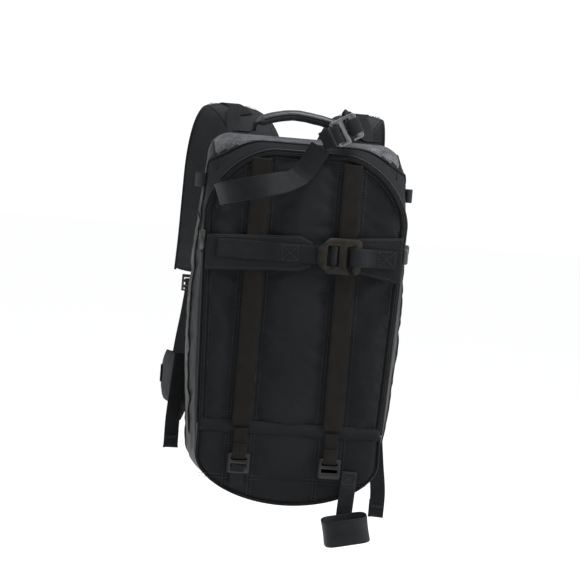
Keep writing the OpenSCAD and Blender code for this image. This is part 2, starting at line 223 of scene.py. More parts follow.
def ribbed(name, low, high, tint=COOL, pitch=0.0011, rough=0.6, sheen=0.02, rib=0.5):
    """Webbing: ribs across its width in a herringbone; UV in metres."""
    s = Shader(name)
    uv = s.add("ShaderNodeTexCoord").outputs["UV"]
    place = s.add("ShaderNodeTexCoord").outputs["Object"]
    split = s.add("ShaderNodeSeparateXYZ", {0: uv})
    lean = s.math("PINGPONG", split.outputs[0], pitch * 2.4)
    along = s.math("MULTIPLY", s.math("ADD", split.outputs[1], lean), math.pi / pitch)
    ribs = s.math("ABSOLUTE", s.math("SINE", along))
    columns = s.math("ABSOLUTE", s.math("SINE", s.math("MULTIPLY", split.outputs[0], math.pi / pitch)))
    height = s.math("ADD", s.math("MULTIPLY", ribs, 0.7), s.math("MULTIPLY", columns, 0.4))
    wear = s.noise(place, 55.0, 3.0)
    color = s.mix(s.ramp(wear, 0.3, 0.7), grey(low, tint), grey(high, tint))
    color = s.mix(s.math("MULTIPLY", ribs, 0.3), color, grey(high * 1.6, tint))
    return s.set(color=color, rough=rough, sheen=sheen, sheen_rough=0.35, specular=0.08,
                 normal=s.bump(height, rib, 0.0005, s.bump(wear, 0.15, 0.002)))


def spacer_mesh(name):
    """Spacer mesh over foam: rows of small round holes."""
    s = Shader(name)
    uv = s.add("ShaderNodeTexCoord").outputs["UV"]
    place = s.add("ShaderNodeTexCoord").outputs["Object"]
    cells = s.add("ShaderNodeTexVoronoi", {"Vector": uv, "Scale": 330.0, "Randomness": 0.15})
    hole = s.ramp(cells.outputs["Distance"], 0.28, 0.5)
    broad = s.noise(place, 14.0, 3.0)
    color = s.mix(hole, grey(0.006), s.mix(broad, grey(0.03, COOL), grey(0.05, COOL)))
    return s.set(color=color, rough=0.85, sheen=0.1, specular=0.2, normal=s.bump(hole, 0.8, 0.0012))


def moulded(name, shade, rough=0.42, grain=0.25, tint=(1.0, 1.0, 1.0)):
    """Injection-moulded plastic or sheet: fine spark texture and slightly polished wear."""
    s = Shader(name)
    place = s.add("ShaderNodeTexCoord").outputs["Object"]
    sparks = s.noise(place, 1500.0, 2.0)
    wear = s.noise(place, 70.0, 4.0)
    color = s.mix(s.ramp(wear, 0.35, 0.75), grey(shade, tint), grey(shade * 1.7, tint))
    roughness = s.math("ADD", rough - 0.08, s.math("MULTIPLY", wear, 0.2))
    return s.set(color=color, rough=roughness, specular=0.3, normal=s.bump(sparks, grain, 0.0003))


def metal(name, shade, tint, rough, edge, brushed=0.2):
    """Satin metal with rubbed edges and fine brushing along X."""
    s = Shader(name)
    place = s.add("ShaderNodeTexCoord").outputs["Object"]
    lines = s.noise(s.scaled(place, 0.05, 1.0, 1.0), 2600.0, 2.0)
    cloud = s.noise(place, 120.0, 3.0)
    point = s.add("ShaderNodeNewGeometry").outputs["Pointiness"]
    rubbed = s.math("MULTIPLY", s.ramp(point, 0.52, 0.6), s.ramp(cloud, 0.35, 0.6))
    color = s.mix(s.ramp(cloud, 0.3, 0.7), grey(shade, tint), grey(shade * 1.1, tint))
    color = s.mix(rubbed, color, grey(edge, tint))
    roughness = s.math("ADD", rough - 0.06, s.math("MULTIPLY", lines, 0.14))
    return s.set(color=color, rough=roughness, metal=0.9, normal=s.bump(lines, brushed, 0.0001))


def thread(name, shade, tint=COOL):
    """Sewing thread with a slight gloss and twist."""
    s = Shader(name)
    place = s.add("ShaderNodeTexCoord").outputs["Object"]
    twist = s.noise(place, 2400.0, 1.0)
    return s.set(color=s.mix(twist, grey(shade * 0.7, tint), grey(shade * 1.3, tint)), rough=0.5,
                 sheen=0.03, specular=0.3, normal=s.bump(twist, 0.3, 0.0002))


FRONT = woven("front_fabric", 0.006, 0.0105, 0.0011)
WING = woven("wing_fabric", 0.0065, 0.0115, 0.0011)
SIDE = coated("side_fabric", 0.008, 0.016, rough=0.5, coat=0.05)
TOP = mottled_and_lit_from_above("top_fabric")
HARNESS = woven("harness_fabric", 0.012, 0.02, 0.0016, weave=0.5, sheen=0.05)
LINING = woven("lining", 0.075, 0.105, 0.0014, rough=0.65, weave=0.25)
HANDLE = coated("handle_cover", 0.024, 0.042, rough=0.36, wrinkle=0.35, coat=0.3)
EDGE = woven("edge_binding", 0.004, 0.007, 0.0009, rough=0.6, crease=0.1)
MESH = spacer_mesh("back_mesh")
WEBBING = ribbed("webbing", 0.006, 0.0105)
BROWN = ribbed("brown_webbing", 0.0045, 0.0075, tint=WARM)
RUBBER = ribbed("elastic", 0.008, 0.014, rough=0.5, rib=0.3)
PLASTIC = moulded("buckle_plastic", 0.007)
PLATE = moulded("back_plate", 0.02, rough=0.6)
SHEET = moulded("plastic_sheet", 0.015, rough=0.35)
BRONZE = metal("hook_bronze", 0.017, (1.1, 1.0, 0.84), 0.55, 0.03)
ALUMINIUM = metal("hook_aluminium", 0.14, (0.98, 1.0, 1.02), 0.38, 0.4)
STAY = metal("stay_metal", 0.55, (0.98, 1.0, 1.02), 0.35, 0.75)
NICKEL = metal("slider_metal", 0.08, (1.0, 1.0, 1.0), 0.45, 0.2)
ZIP = moulded("zip_tape", 0.006, rough=0.5, grain=0.15, tint=COOL)
THREAD = thread("thread", 0.02)


# ---------------------------------------------------------------- mesh building
def point(x, y, z):
    return Vector((x, y, z))


def face_outwards(mesh):
    """Turns every face of a closed mesh outwards."""
    shape = bmesh.new()
    shape.from_mesh(mesh)
    bmesh.ops.recalc_face_normals(shape, faces=shape.faces)
    shape.to_mesh(mesh)
    shape.free()


def piece(name, body, verts, faces, material, uvs=None, slot=None, replaces=(), smooth=True, shut=True):
    """A mesh from points in millimetres, riding on a body."""
    mesh = bpy.data.meshes.new(name)
    mesh.from_pydata([(v[0] * MM, v[1] * MM, v[2] * MM) for v in verts], [], faces)
    for m in material if isinstance(material, (list, tuple)) else [material]:
        mesh.materials.append(m)
    if uvs is not None:
        layer = mesh.uv_layers.new(name="UVMap")
        for loop in mesh.loops:
            u, v = uvs[loop.vertex_index]
            layer.data[loop.index].uv = (u * MM, v * MM)
    if shut:
        face_outwards(mesh)
    mesh.polygons.foreach_set("use_smooth", [smooth] * len(mesh.polygons))
    made = bpy.data.objects.new(name, mesh)
    bpy.context.scene.collection.objects.link(made)
    if body:
        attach(made, body)
    if replaces:
        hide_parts(*([replaces] if isinstance(replaces, str) else replaces))
    return made


def curve(points, steps=8):
    """Catmull-Rom curve through given points."""
    p = [Vector(q) for q in points]
    out = []
    for i in range(len(p) - 1):
        a, b, c, d = p[max(i - 1, 0)], p[i], p[i + 1], p[min(i + 2, len(p) - 1)]
        for j in range(steps):
            t = j / steps
            out.append(0.5 * (2 * b + (c - a) * t + (2 * a - 5 * b + 4 * c - d) * t * t
                              + (3 * b - a - 3 * c + d) * t ** 3))
    return out + [p[-1]]


def lengths(path):
    total = [0.0]
    for a, b in zip(path, path[1:]):
        total.append(total[-1] + (b - a).length)
    return total


def even(path, step):
    """The same line with points at an even spacing of about step."""
    run = lengths(path)
    count = max(2, round(run[-1] / step))
    out, k = [], 0
    for i in range(count + 1):
        want = run[-1] * i / count
        while k < len(run) - 2 and run[k + 1] < want:
            k += 1
        span = run[k + 1] - run[k]
        out.append(path[k].lerp(path[k + 1], (want - run[k]) / span if span > 1e-9 else 0.0))
    return out


def tangent(path, i):
    return (path[min(i + 1, len(path) - 1)] - path[max(i - 1, 0)]).normalized()


def frames(path, across):
    """(tangent, across, normal) at each point; across is a vector or a function of the share run."""
    out = []
    for i in range(len(path)):
        t = tangent(path, i)
        a = Vector(across(i / (len(path) - 1)) if callable(across) else across)
        a = (a - t * t.dot(a)).normalized()
        out.append((t, a, t.cross(a)))
    return out


def sweep(name, body, path, across, profile, material, closed=False, **more):
    """A closed cross-section, given as (across, up) pairs or a function of the share run, along a path."""
    rows, uvs = [], []
    run = lengths(path)
    for i, (t, a, n) in enumerate(frames(path, across)):
        share = i / (len(path) - 1)
        section = profile(share) if callable(profile) else profile
        around = 0.0
        for k, (s, h) in enumerate(section):
            if k:
                around += math.dist(section[k - 1], (s, h))
            rows.append(path[i] + a * s + n * h)
            uvs.append((around, run[i]))
    count = len(section)
    faces = []
    last = len(path) if closed else len(path) - 1
    for i in range(last):
        here, there = i * count, (i + 1) % len(path) * count
        for k in range(count):
            k2 = (k + 1) % count
            faces.append((here + k, there + k, there + k2, here + k2))
    if not closed:
        faces.append(tuple(range(count)))
        faces.append(tuple(reversed(range(last * count, last * count + count))))
    return piece(name, body, rows, faces, material, uvs, **more)


def flat_section(width, thick, steps=6, cup=0.0):
    """Webbing's cross-section: flat faces, round edges, and an optional cup across its width."""
    half, r = width / 2, thick / 2
    top = [(-half + r + (width - 2 * r) * k / steps, r) for k in range(steps + 1)]
    right = [(half - r + r * math.sin(a), r * math.cos(a)) for a in (math.pi / 4, math.pi / 2, 3 * math.pi / 4)]
    section = top + right + [(-s, -h) for s, h in top] + [(-s, -h) for s, h in right]
    return [(s, h + cup * (2 * s / width) ** 2) for s, h in section]


def webbing(name, body, path, across, width, thick=WEB, material=None, step=2.5, cup=0.0, **more):
    line = even(path, step)
    more.setdefault("slot", "webbing")
    return sweep(name, body, line, across, flat_section(width, thick, cup=cup), material or WEBBING, **more)


def ring_section(radius, count=8):
    return [(radius * math.cos(2 * math.pi * k / count), radius * math.sin(2 * math.pi * k / count))
            for k in range(count)]


def cord_line(name, body, path, radius, material, slot, closed=False, step=3.0):
    """Piping or a thin pull along a line."""
    line = even(path, step)
    return sweep(name, body, line, lambda t: (0.31, 1.0, 0.17), ring_section(radius), material,
                 closed=closed, slot=slot)


def stitches(name, body, runs, length=2.6, pitch=3.9, radius=0.33, material=None):
    """Lockstitches: short rounded bars along each (path, normal) run, half sunk in the cloth."""
    verts, faces = [], []
    for path, normal in runs:
        line = even(path, pitch)
        for i in range(len(line) - 1):
            t = (line[i + 1] - line[i]).normalized()
            n = Vector(normal(line[i]) if callable(normal) else normal).normalized()
            a = t.cross(n).normalized()
            for share, size in ((-0.5, 0.35), (-0.3, 1.0), (0.3, 1.0), (0.5, 0.35)):
                c = (line[i] + line[i + 1]) / 2 + t * length * share + n * radius * (0.1 if size < 1 else 0.45)
                verts += [c + a * radius * size, c + n * radius * size, c - a * radius * size,
                          c - n * radius * size]
            base = len(verts) - 16
            for k in range(3):
                for q in range(4):
                    q2 = (q + 1) % 4
                    faces.append((base + 4 * k + q, base + 4 * k + q2, base + 4 * k + 4 + q2,
                                  base + 4 * k + 4 + q))
            faces.append((base + 3, base + 2, base + 1, base))
            faces.append((base + 12, base + 13, base + 14, base + 15))
    return piece(name, body, verts, faces, material or THREAD)


def bartack(centre, along, across, width, rows=7, pitch=1.1):
    """Paths of a dense bar of stitches: rows side by side."""
    centre, along, across = Vector(centre), Vector(along).normalized(), Vector(across).normalized()
    return [[centre + along * (k - rows / 2) * pitch - across * width / 2,
             centre + along * (k - rows / 2) * pitch + across * width / 2] for k in range(rows)]


def grain(x, y, z, scale, seed=0.0):
    """Smooth noise from -1 to 1 at a place in millimetres."""
    return noise.noise(Vector((x / scale + seed, y / scale - seed, z / scale + 2 * seed)))


def mix(a, b, t):
    return a + (b - a) * t


def smooth_step(t):
    t = max(0.0, min(1.0, t))
    return t * t * (3 - 2 * t)


def refined(name, node, body, material, bevel=0.5, segments=2):
    """A copy of a rigid CAD node with its edges rounded, as moulding or tumbling leaves them."""
    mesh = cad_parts[node].data.copy()
    mesh.name = name
    mesh.materials.clear()
    mesh.materials.append(material)
    made = bpy.data.objects.new(name, mesh)
    bpy.context.scene.collection.objects.link(made)
    bpy.context.view_layer.objects.active = made
    weld = made.modifiers.new("weld", "WELD")
    weld.merge_threshold = 0.00001
    plane = made.modifiers.new("planar", "DECIMATE")
    plane.decimate_type = "DISSOLVE"
    plane.angle_limit = math.radians(2)
    edge = made.modifiers.new("bevel", "BEVEL")
    edge.width = bevel * MM
    edge.segments = segments
    edge.limit_method = "ANGLE"
    edge.angle_limit = math.radians(25)
    edge.harden_normals = True
    bake(made)
    made.data.polygons.foreach_set("use_smooth", [True] * len(made.data.polygons))
    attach(made, body)
    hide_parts(node)
    return made


def bake(made):
    """Applies an object's modifiers to its mesh."""
    bpy.context.view_layer.update()
    shaped = made.evaluated_get(bpy.context.evaluated_depsgraph_get())
    mesh = bpy.data.meshes.new_from_object(shaped)
    made.modifiers.clear()
    made.data = mesh
    return made


def puff(made, held, pressure=4.0, frames_run=20, cap=8.0, grow=0.02, quality=6):
    """Fills a sewn skin by cloth simulation: held vertices are its seams, and no point moves further than cap."""
    rest = [v.co.copy() for v in made.data.vertices]
    seams = made.vertex_groups.new(name="seams")
    seams.add(held, 1.0, "REPLACE")
    cloth = made.modifiers.new("cloth", "CLOTH")
    settings = cloth.settings
    settings.quality = quality
    settings.mass = 0.25
    settings.tension_stiffness = 25
    settings.compression_stiffness = 25
    settings.bending_stiffness = 0.6
    settings.vertex_group_mass = "seams"
    settings.use_pressure = True
    settings.uniform_pressure_force = pressure
    settings.shrink_min = -grow
    settings.effector_weights.gravity = 0.0
    cloth.collision_settings.use_collision = False
    scene = bpy.context.scene
    for step in range(1, frames_run + 1):
        scene.frame_set(step)
    bake(made)
    made.vertex_groups.clear()
    scene.frame_set(1)
    limit = cap * MM
    for v, start in zip(made.data.vertices, rest):
        move = v.co - start
        if move.length > limit:
            v.co = start + move * (limit / move.length)
    return made


def subdivide(made, levels=1):
    made.modifiers.new("smooth", "SUBSURF").levels = levels
    made.modifiers["smooth"].render_levels = levels
    return bake(made)


# ---------------------------------------------------------------- outlines shared with the frame
def spow(v, p):
    return math.copysign(abs(v) ** p, v)


def quarter(cx, cz, rx, rz, n, start, end, steps):
    out = []
    for i in range(steps + 1):
        a = math.radians(mix(start, end, i / steps))
        out.append((cx + rx * spow(math.cos(a), 2 / n), cz + rz * spow(math.sin(a), 2 / n)))
    return out


def mirrored(right):
    return right + [(-x, z) for x, z in reversed(right) if x > 0.001]


def bag_outline(half, low_half, top, low, corner, n, bow, inset):
    side = [(mix(low_half, half, i / 60) - inset + bow * math.sin(math.pi * i / 60),
             mix(low + FOOT_RISE, top - corner, i / 60)) for i in range(1, 60)]
    return mirrored(quarter(0, low + FOOT_RISE, low_half - inset, FOOT_RISE - inset, 1.95, -90, 0, 24) + side
                    + quarter(half - corner, top - corner, corner - inset, corner - inset, n, 0, 90, 20))


def door_half(z):
    """Half of the door's width at a height below its shoulders."""
    return mix(DOOR_LOW_HALF, DOOR_HALF, min(1.0, (z - Z_FOOT) / (Z_DOOR - CORNER - Z_FOOT)))


def arch(grow=0.0, y=0.0):
    """The door's outline, grown by a margin, from its right foot over the top to its left foot."""
    right = [(door_half(z) + grow, z) for z in [mix(Z_FOOT, Z_DOOR - CORNER, i / 90) for i in range(90)]]
    right += quarter(DOOR_HALF - CORNER, Z_DOOR - CORNER, CORNER + grow, CORNER + grow, 1.75, 0, 90, 50)
    right += [(x, Z_DOOR + grow) for x in (34, 23, 12)]
    return [point(x, y, z) for x, z in right + [(-x, z) for x, z in reversed(right)]]


def arch_top(x, inset):
    """Height of the door's inset outline above x."""
    radius = CORNER - inset
    out = abs(x) - (DOOR_HALF - CORNER)
    if out <= 0:
        return Z_DOOR - inset
    return Z_DOOR - CORNER + radius * max(0.0, 1 - (out / radius) ** 1.75) ** (1 / 1.75)


# Sections of the bag: depth, half width above and below, top, bottom, corner radius and shape, bow of the sides
SECTIONS = [
    (Y_RIM, 139, FOOT_HALF, 236, -246, 92, 1.75, 0), (Y_RIM + 8, 138, FOOT_HALF + 1, 242, -247, 84, 1.75, 4),
    (Y_RIM + 30, 137, 132, 249, -249, 50, 2, 11), (Y_RIM + 65, 135, 135, 255, -250, 34, 2, 14),
    (Y_RIM + 105, 134, 134, 256, -250, 30, 2, 14), (Y_RIM + 140, 133, 133, 254, -249, 30, 2, 7),
    (Y_BACK, 130, 130, 250, -247, 32, 2, 6),
]


def section_at(y):
    for a, b in zip(SECTIONS, SECTIONS[1:]):
        if y <= b[0] + 1e-6:
            t = (y - a[0]) / (b[0] - a[0])
            return [mix(p, q, t) for p, q in zip(a, b)]
    return list(SECTIONS[-1])


def shell_ring(y, inset=0.0, lift=0.0):
    """Points round the bag at one depth, with the folds of its side, top and bottom cloth."""
    _, half, low_half, top, low, corner, n, bow = section_at(y)
    free = smooth_step((y - Y_RIM - 5) / 20) * smooth_step((Y_BACK - 3 - y) / 20)
    out = []
    for x, z in bag_outline(half + lift, low_half + lift, top + lift, low - lift, corner + lift, n, bow, inset):
        side = smooth_step((abs(x) - 112) / 18) * smooth_step((222 - z) / 40) * smooth_step((z + 225) / 40)
        lean = z + 0.6 * (y - Y_RIM)
        fold = abs(grain(x * 0.3, y * 0.5, lean, 36, 3.1)) * 6.5 + abs(grain(x * 0.3, y * 0.6, lean, 16, 7.7)) * 2.6
        inward = free * side * (fold - 1.6)
        dip = smooth_step((z - 238) / 12) * free * (1.2 + 1.4 * grain(x, y, z, 42, 5.0))
        rise = smooth_step((-222 - z) / 14) * free * (0.8 + 1.4 * grain(x, y, z, 36, 9.0))
        out.append(point(x - math.copysign(inward, x) if abs(x) > 1 else x, y, z - dip + rise))
    return out


# ---------------------------------------------------------------- bag
def bag_shell():
    steps = 40
    depths = [mix(Y_RIM, Y_BACK, i / steps) for i in range(steps + 1)]
    rings = [shell_ring(y, 3.5) for y in reversed(depths)] + [shell_ring(y) for y in depths]
    count = len(rings[0])
    verts = [p for ring in rings for p in ring]
    uvs = [(run, p.y) for ring in rings for run, p in zip(lengths(ring), ring)]
    faces = []
    for i in range(len(rings) - 1):
        for k in range(count):
            k2 = (k + 1) % count
            faces.append((i * count + k, i * count + k2, (i + 1) * count + k2, (i + 1) * count + k))
    back = (len(rings) - 1) * count
    faces += [tuple(range(back, back + count)), tuple(reversed(range(count)))]
    made = piece("bag_shell", "pack", verts, faces, [SIDE, FRONT, TOP, LINING], uvs, "side_fabric", "main_shell")
    lining_end = (steps + 1) * count
    over_top = top_columns()
    for index, face in enumerate(made.data.polygons):
        c = face.center / MM
        if min(face.vertices) < lining_end:
            face.material_index = 3
        elif c.y < seam_depth(c.z) and (c.z > 125 or c.y < Y_RIM + 6):
            face.material_index = 1
        elif index % count in over_top and c.y < SEAM_BACK:
            face.material_index = 2


def top_columns():
    """The columns of the bag's rings that run over its top, above the side seams."""
    return [k for k, p in enumerate(shell_ring(SEAM_FRONT)) if p.z > TOP_SEAM_Z]


def seam_depth(z):
    """The front seam comes forward over the top of the bag, so that the top cloth shows from the front."""
    return mix(SEAM_FRONT, SEAM_TOP, smooth_step((z - 205) / 40))


def over_bag(y, low, lift):
    """A line round the bag at one depth, from its right side over the top to its left, above a height."""
    return [p for p in shell_ring(y, 0, lift) if p.z > low]


def front_seam(shift, low, lift):
    """The line of the front seam, moved back by shift."""
    rings = {}
    line = []
    for k, p in enumerate(shell_ring(SEAM_FRONT, 0, lift)):
        depth = round(seam_depth(p.z)) + shift
        if depth not in rings:
            rings[depth] = shell_ring(depth, 0, lift)
        if p.z > low:
            line.append(point(rings[depth][k].x, seam_depth(p.z) + shift, rings[depth][k].z))
    return line


def out_of_bag(p):
    return point(math.copysign(max(0.0, abs(p.x) - 95), p.x), 0, max(0.0, p.z - 205) + 0.01)


def bag_seams():
    cord_line("front_piping", "pack", front_seam(0, -165, 0.5), 1.8, EDGE, "side_fabric")
    cord_line("back_piping", "pack", over_bag(SEAM_BACK, -235, 0.5), 2.0, EDGE, "side_fabric")
    stitches("bag_stitches", "pack", [(line, out_of_bag) for line in
                                      (front_seam(-5, -160, 0.3), front_seam(5, -160, 0.3),
                                       over_bag(SEAM_BACK - 6, -160, 0.3))])
    columns = top_columns()
    middle = shell_ring(SEAM_FRONT)
    for sign, name in ((1, "right"), (-1, "left")):
        low = min((k for k, p in enumerate(middle) if p.x * sign > 90), key=lambda k: abs(middle[k].z - 125))
        high = min((columns[0], columns[-1] + 1), key=lambda k: -middle[k].x * sign)
        across = [shell_ring(Y_RIM + 6 + 5 * i, 0, 0.3) for i in range(26)]
        cord_line("cross_seam_" + name, "pack", [ring[low] for ring in across], 1.1, EDGE, "side_fabric")
        cord_line("top_seam_" + name, "pack", [ring[high] for ring in across[1:]], 1.1, EDGE, "side_fabric")


def along(line, profile, y_only=False):
    """Rings of a profile whose points are (inset, y), on the family of lines parallel to the door's edge."""
    return [[line(inset)[i] + point(0, y, 0) for inset, y in profile] for i in range(len(line(0)))]


def ring_mesh(rings, closed=False):
    """Points, faces and UVs of a tube through rings of points."""
    count = len(rings[0])
    verts = [p for ring in rings for p in ring]
    centres = [sum(ring, Vector()) / count for ring in rings]
    run = lengths(centres)
    uvs = []
    for k, ring in enumerate(rings):
        turn = lengths(ring)
        uvs += [(turn[j], run[k]) for j in range(count)]
    faces = []
    for i in range(len(rings) if closed else len(rings) - 1):
        here, there = i * count, (i + 1) % len(rings) * count
        for k in range(count):
            k2 = (k + 1) % count
            faces.append((here + k, there + k, there + k2, here + k2))
    if not closed:
        faces += [tuple(range(count)), tuple(reversed(range(len(verts) - count, len(verts))))]
    return verts, faces, uvs


def zip_track():
    """Woven tape with a raised coil, sewn round the bag's rim behind the door's edge."""
    middle = Y_RIM - 2.6
    profile = [(-4.2, middle + 1.9), (-4.4, middle - 0.4), (-3.2, middle - 1.6), (-2.6, middle - 0.9),
               (-1.4, middle - 0.9), (-0.9, middle - 1.6), (-0.5, middle - 0.4), (-0.6, middle + 1.9)]
    lines = {inset: arch(-inset) for inset, y in profile}
    rings = [[lines[inset][i] + point(0, y, 0) for inset, y in profile] for i in range(len(lines[-0.6]))]
    verts, faces, uvs = ring_mesh(rings)
    piece("zip_track", "pack", verts, faces, ZIP, uvs, "zip_tape", "main_zip")
    coil = even(arch(2.0, middle - 1.2), 0.55)
    turns = []
    for i in range(0, len(coil) - 3, 3):
        t = tangent(coil, i)
        side = t.cross(point(0, 1, 0)) * 1.15
        turns.append(([coil[i] + side, coil[i] - side], (0, -1, 0)))
    stitches("zip_coil", "pack", turns, length=2.0, pitch=2.3, radius=0.62, material=ZIP)


# ---------------------------------------------------------------- door
QUILT_SEAMS = (WEB_SHIFT - WEB_X - 17.5, WEB_SHIFT - WEB_X + 17.5, WEB_SHIFT + WEB_X - 17.5, WEB_SHIFT + WEB_X + 17.5)


def band_edge(z):
    return door_half(z) - EDGE_BAND


def quilt(columns, low, high, rows, base, bulge):
    """Points, faces, UVs and seam indices of a quilted face; columns are (x of z, zone share, zone)."""
    verts, held, uvs, faces = [], [], [], []
    for place, share, zone in columns:
        top = high(place(150))
        bottom = low(place(-190))
        for r in range(rows + 1):
            t = r / rows
            z = mix(bottom, top, t)
            x = place(z)
            ends = smooth_step(r / 5) * smooth_step((rows - r) / 5)
            on_seam = share in (0, 1)
            lift = 0 if on_seam else bulge[zone] * (1 - abs(2 * share - 1) ** 2.6) * ends
            if on_seam or r in (0, rows):
                held.append(len(verts))
            verts.append(point(x, base - lift, z))
            uvs.append((x, z))
    for c in range(len(columns) - 1):
        for r in range(rows):
            a = c * (rows + 1) + r
            faces.append((a, a + rows + 1, a + rows + 2, a + 1))
    return verts, faces, uvs, held


def zone_columns(lines, counts):
    """Columns between neighbouring seam lines, closer together next to the outermost ones."""
    columns = []
    for zone, count in enumerate(counts):
        first, second = lines[zone], lines[zone + 1]
        last = zone == len(counts) - 1
        for k in range(count + (1 if last else 0)):
            share = k / count
            spread = share
            if zone == 0:
                spread = share ** 1.35
            if last:
                spread = 1 - (1 - share) ** 1.35
            columns.append((lambda z, a=first, b=second, s=spread: mix(a(z), b(z), s), share, zone))
    return columns


def door_face():
    """The quilted face of the door, blown up between its pinned seams by a cloth simulation."""
    lines = [lambda z: -band_edge(z)] + [lambda z, x=x: x for x in QUILT_SEAMS] + [band_edge]
    columns = zone_columns(lines, (11, 9, 22, 9, 11))
    verts, faces, uvs, held = quilt(columns, lambda x: Z_FOOT + 1, lambda x: arch_top(x, EDGE_BAND), 92, PAD_Y,
                                    (3.4, 1.0, 2.6, 1.0, 3.4))
    made = piece("door_face", None, verts, faces, FRONT, uvs, shut=False)
    puff(made, held, pressure=2.5, frames_run=14, cap=3.4)
    subdivide(made)
    for v in made.data.vertices:
        x, z = v.co.x / MM, v.co.z / MM
        seam = min(abs(x - line) for line in QUILT_SEAMS)
        rim = min(max(0, arch_top(x, EDGE_BAND) - z), abs(abs(x) - band_edge(z)))
        near = min(seam, rim)
        gather = math.exp(-near / 6.0) * (0.8 * grain(x * 0.4, 0, z, 3.8, 2.2) + 0.4 * grain(x * 0.6, 0, z, 2.0, 4.1))
        ripple = 0.55 * grain(x * 1.5, 0, z * 0.4, 28, 8.8) + 0.25 * grain(x, 0, z, 11, 6.5)
        v.co.y += (gather - ripple) * MM * smooth_step(near / 1.5)
    finish_pad(made, "door", "front_panel")
    for x in QUILT_SEAMS:
        path = [point(x, PAD_Y - 0.1, z) for z in range(-143, 226, 5) if z < arch_top(x, EDGE_BAND)]
        for shift in (-2.6, 2.6):
            DOOR_STITCHES.append(([p + point(shift, -1.0, 0) for p in path], (0, -1, 0)))


DOOR_STITCHES = []


def finish_pad(made, body, node):
    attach(made, body)
    if node:
        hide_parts(node)


def door_edge():
    """The rolled band round the door, with the door's side wall."""
    profile = [(EDGE_BAND + 0.8, PAD_Y + 1.0), (EDGE_BAND - 0.2, PAD_Y - 0.3), (EDGE_BAND - 0.8, Y_FACE + 3.3),
               (4.0, Y_FACE + 2.5), (3.2, Y_FACE + 2.3), (2.4, Y_FACE + 2.7), (1.6, Y_FACE + 3.7),
               (0.9, Y_FACE + 5.2), (0.5, Y_FACE + 7.6), (0.6, Y_RIM - 0.6), (EDGE_BAND, Y_RIM - 0.6)]
    lines = [arch(-inset) for inset, y in profile]
    rings = []
    for i in range(len(lines[0])):
        ring = []
        for line, (inset, y) in zip(lines, profile):
            p = line[i]
            wave = 0.35 * grain(p.x, 0, p.z, 6.5, 1.1) + 0.35 * grain(p.x, 0, p.z, 17, 2.6)
            ring.append(p + point(0, y + (wave if 2 < inset < EDGE_BAND - 1 else 0), 0))
        rings.append(ring)
    verts, faces, uvs = ring_mesh(rings)
    made = piece("door_edge", "door", verts, faces, FRONT, uvs, slot="front_fabric")
    subdivide(made)
    cord_line("door_piping", "door", arch(-1.2, Y_FACE + 4.2), 1.5, EDGE, "front_fabric")
    cord_line("door_groove", "door", arch(-EDGE_BAND, PAD_Y - 0.6), 0.9, EDGE, "front_fabric")
    DOOR_STITCHES.append((arch(-EDGE_BAND - 3.0, PAD_Y - 1.9), (0, -1, 0)))


def door_inside():
    """The lining on the door's back and its wide pocket, a mesh pocket on the bag that is drawn here in the lining
    cloth.
    """
    rim = arch(-1.0)
    verts = [p + point(0, Y_RIM - 0.7, 0) for p in rim] + [p + point(0, Y_RIM - 2.2, 0) for p in rim]
    n = len(rim)
    faces = [tuple(range(n)), tuple(reversed(range(n, 2 * n)))]
    faces += [(k, (k + 1) % n, n + (k + 1) % n, n + k) for k in range(n)]
    piece("door_lining", "door", verts, faces, LINING, [(p.x, p.z) for p in verts], "lining", smooth=False)
    grid = [[point(x, Y_RIM + 1.7 + 0.7 * grain(x, 0, z, 30, 5.5), z) for z in range(-110, 111, 5)]
            for x in range(-95, 96, 5)]
    cloth_panel("door_pocket", "door", grid, 1.4, LINING, slot="lining", replaces="door_pocket")
    rim_line = [grid[i][-1] for i in range(len(grid))]
    webbing("pocket_binding", "door", [p + point(0, 0, 0.5) for p in rim_line], (0, 1, 0), 3.2, 1.4)


def boxed(front, back):
    """Points, faces, UVs and rim indices of the closed skin between two equal grids of points."""
    rows, cols = len(front), len(front[0])
    verts = [p for row in front for p in row] + [p for row in back for p in row]
    uvs = [(p.x + 0.7 * p.y, p.z) for p in verts]
    half = rows * cols
    faces = []
    for i in range(rows - 1):
        for j in range(cols - 1):
            a = i * cols + j
            faces.append((a, a + cols, a + cols + 1, a + 1))
            faces.append((half + a, half + a + 1, half + a + cols + 1, half + a + cols))
    rim = list(range(cols)) + [i * cols + cols - 1 for i in range(1, rows)]
    rim += [(rows - 1) * cols + j for j in range(cols - 2, -1, -1)] + [i * cols for i in range(rows - 2, 0, -1)]
    for k, a in enumerate(rim):
        b = rim[(k + 1) % len(rim)]
        faces.append((a, b, half + b, half + a))
    return verts, faces, uvs, rim


def cloth_panel(name, body, grid, thick, material, **more):
    """A closed thin panel round a grid of points, its edges rounded down."""
    rows, cols = len(grid), len(grid[0])
    sides = []
    for side in (1, -1):
        skin = []
        for i in range(rows):
            row = []
            for j in range(cols):
                a = grid[min(i + 1, rows - 1)][j] - grid[max(i - 1, 0)][j]
                b = grid[i][min(j + 1, cols - 1)] - grid[i][max(j - 1, 0)]
                rim = 0.45 if i in (0, rows - 1) or j in (0, cols - 1) else 1.0
                row.append(grid[i][j] + a.cross(b).normalized() * side * thick / 2 * rim)
            skin.append(row)
        sides.append(skin)
    verts, faces, uvs, _ = boxed(*sides)
    return piece(name, body, verts, faces, material, uvs, **more)


def hinge_strip():
    """Cloth that joins the door's foot to the lower panel, drawn in one fixed bowed shape."""
    grid = []
    for i in range(66):
        x = mix(-DOOR_LOW_HALF + 1, DOOR_LOW_HALF - 1, i / 65)
        grid.append([point(x, Y_FACE + 4.2 - 3.4 * math.sin(math.pi * j / 12) - 0.5 * grain(x, 0, j, 6, 3.3),
                           Z_FOOT - 8.5 + 17 * j / 12) for j in range(13)])
    made = cloth_panel("hinge_strip", None, grid, 1.6, FRONT, slot="front_fabric")
    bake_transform(made)


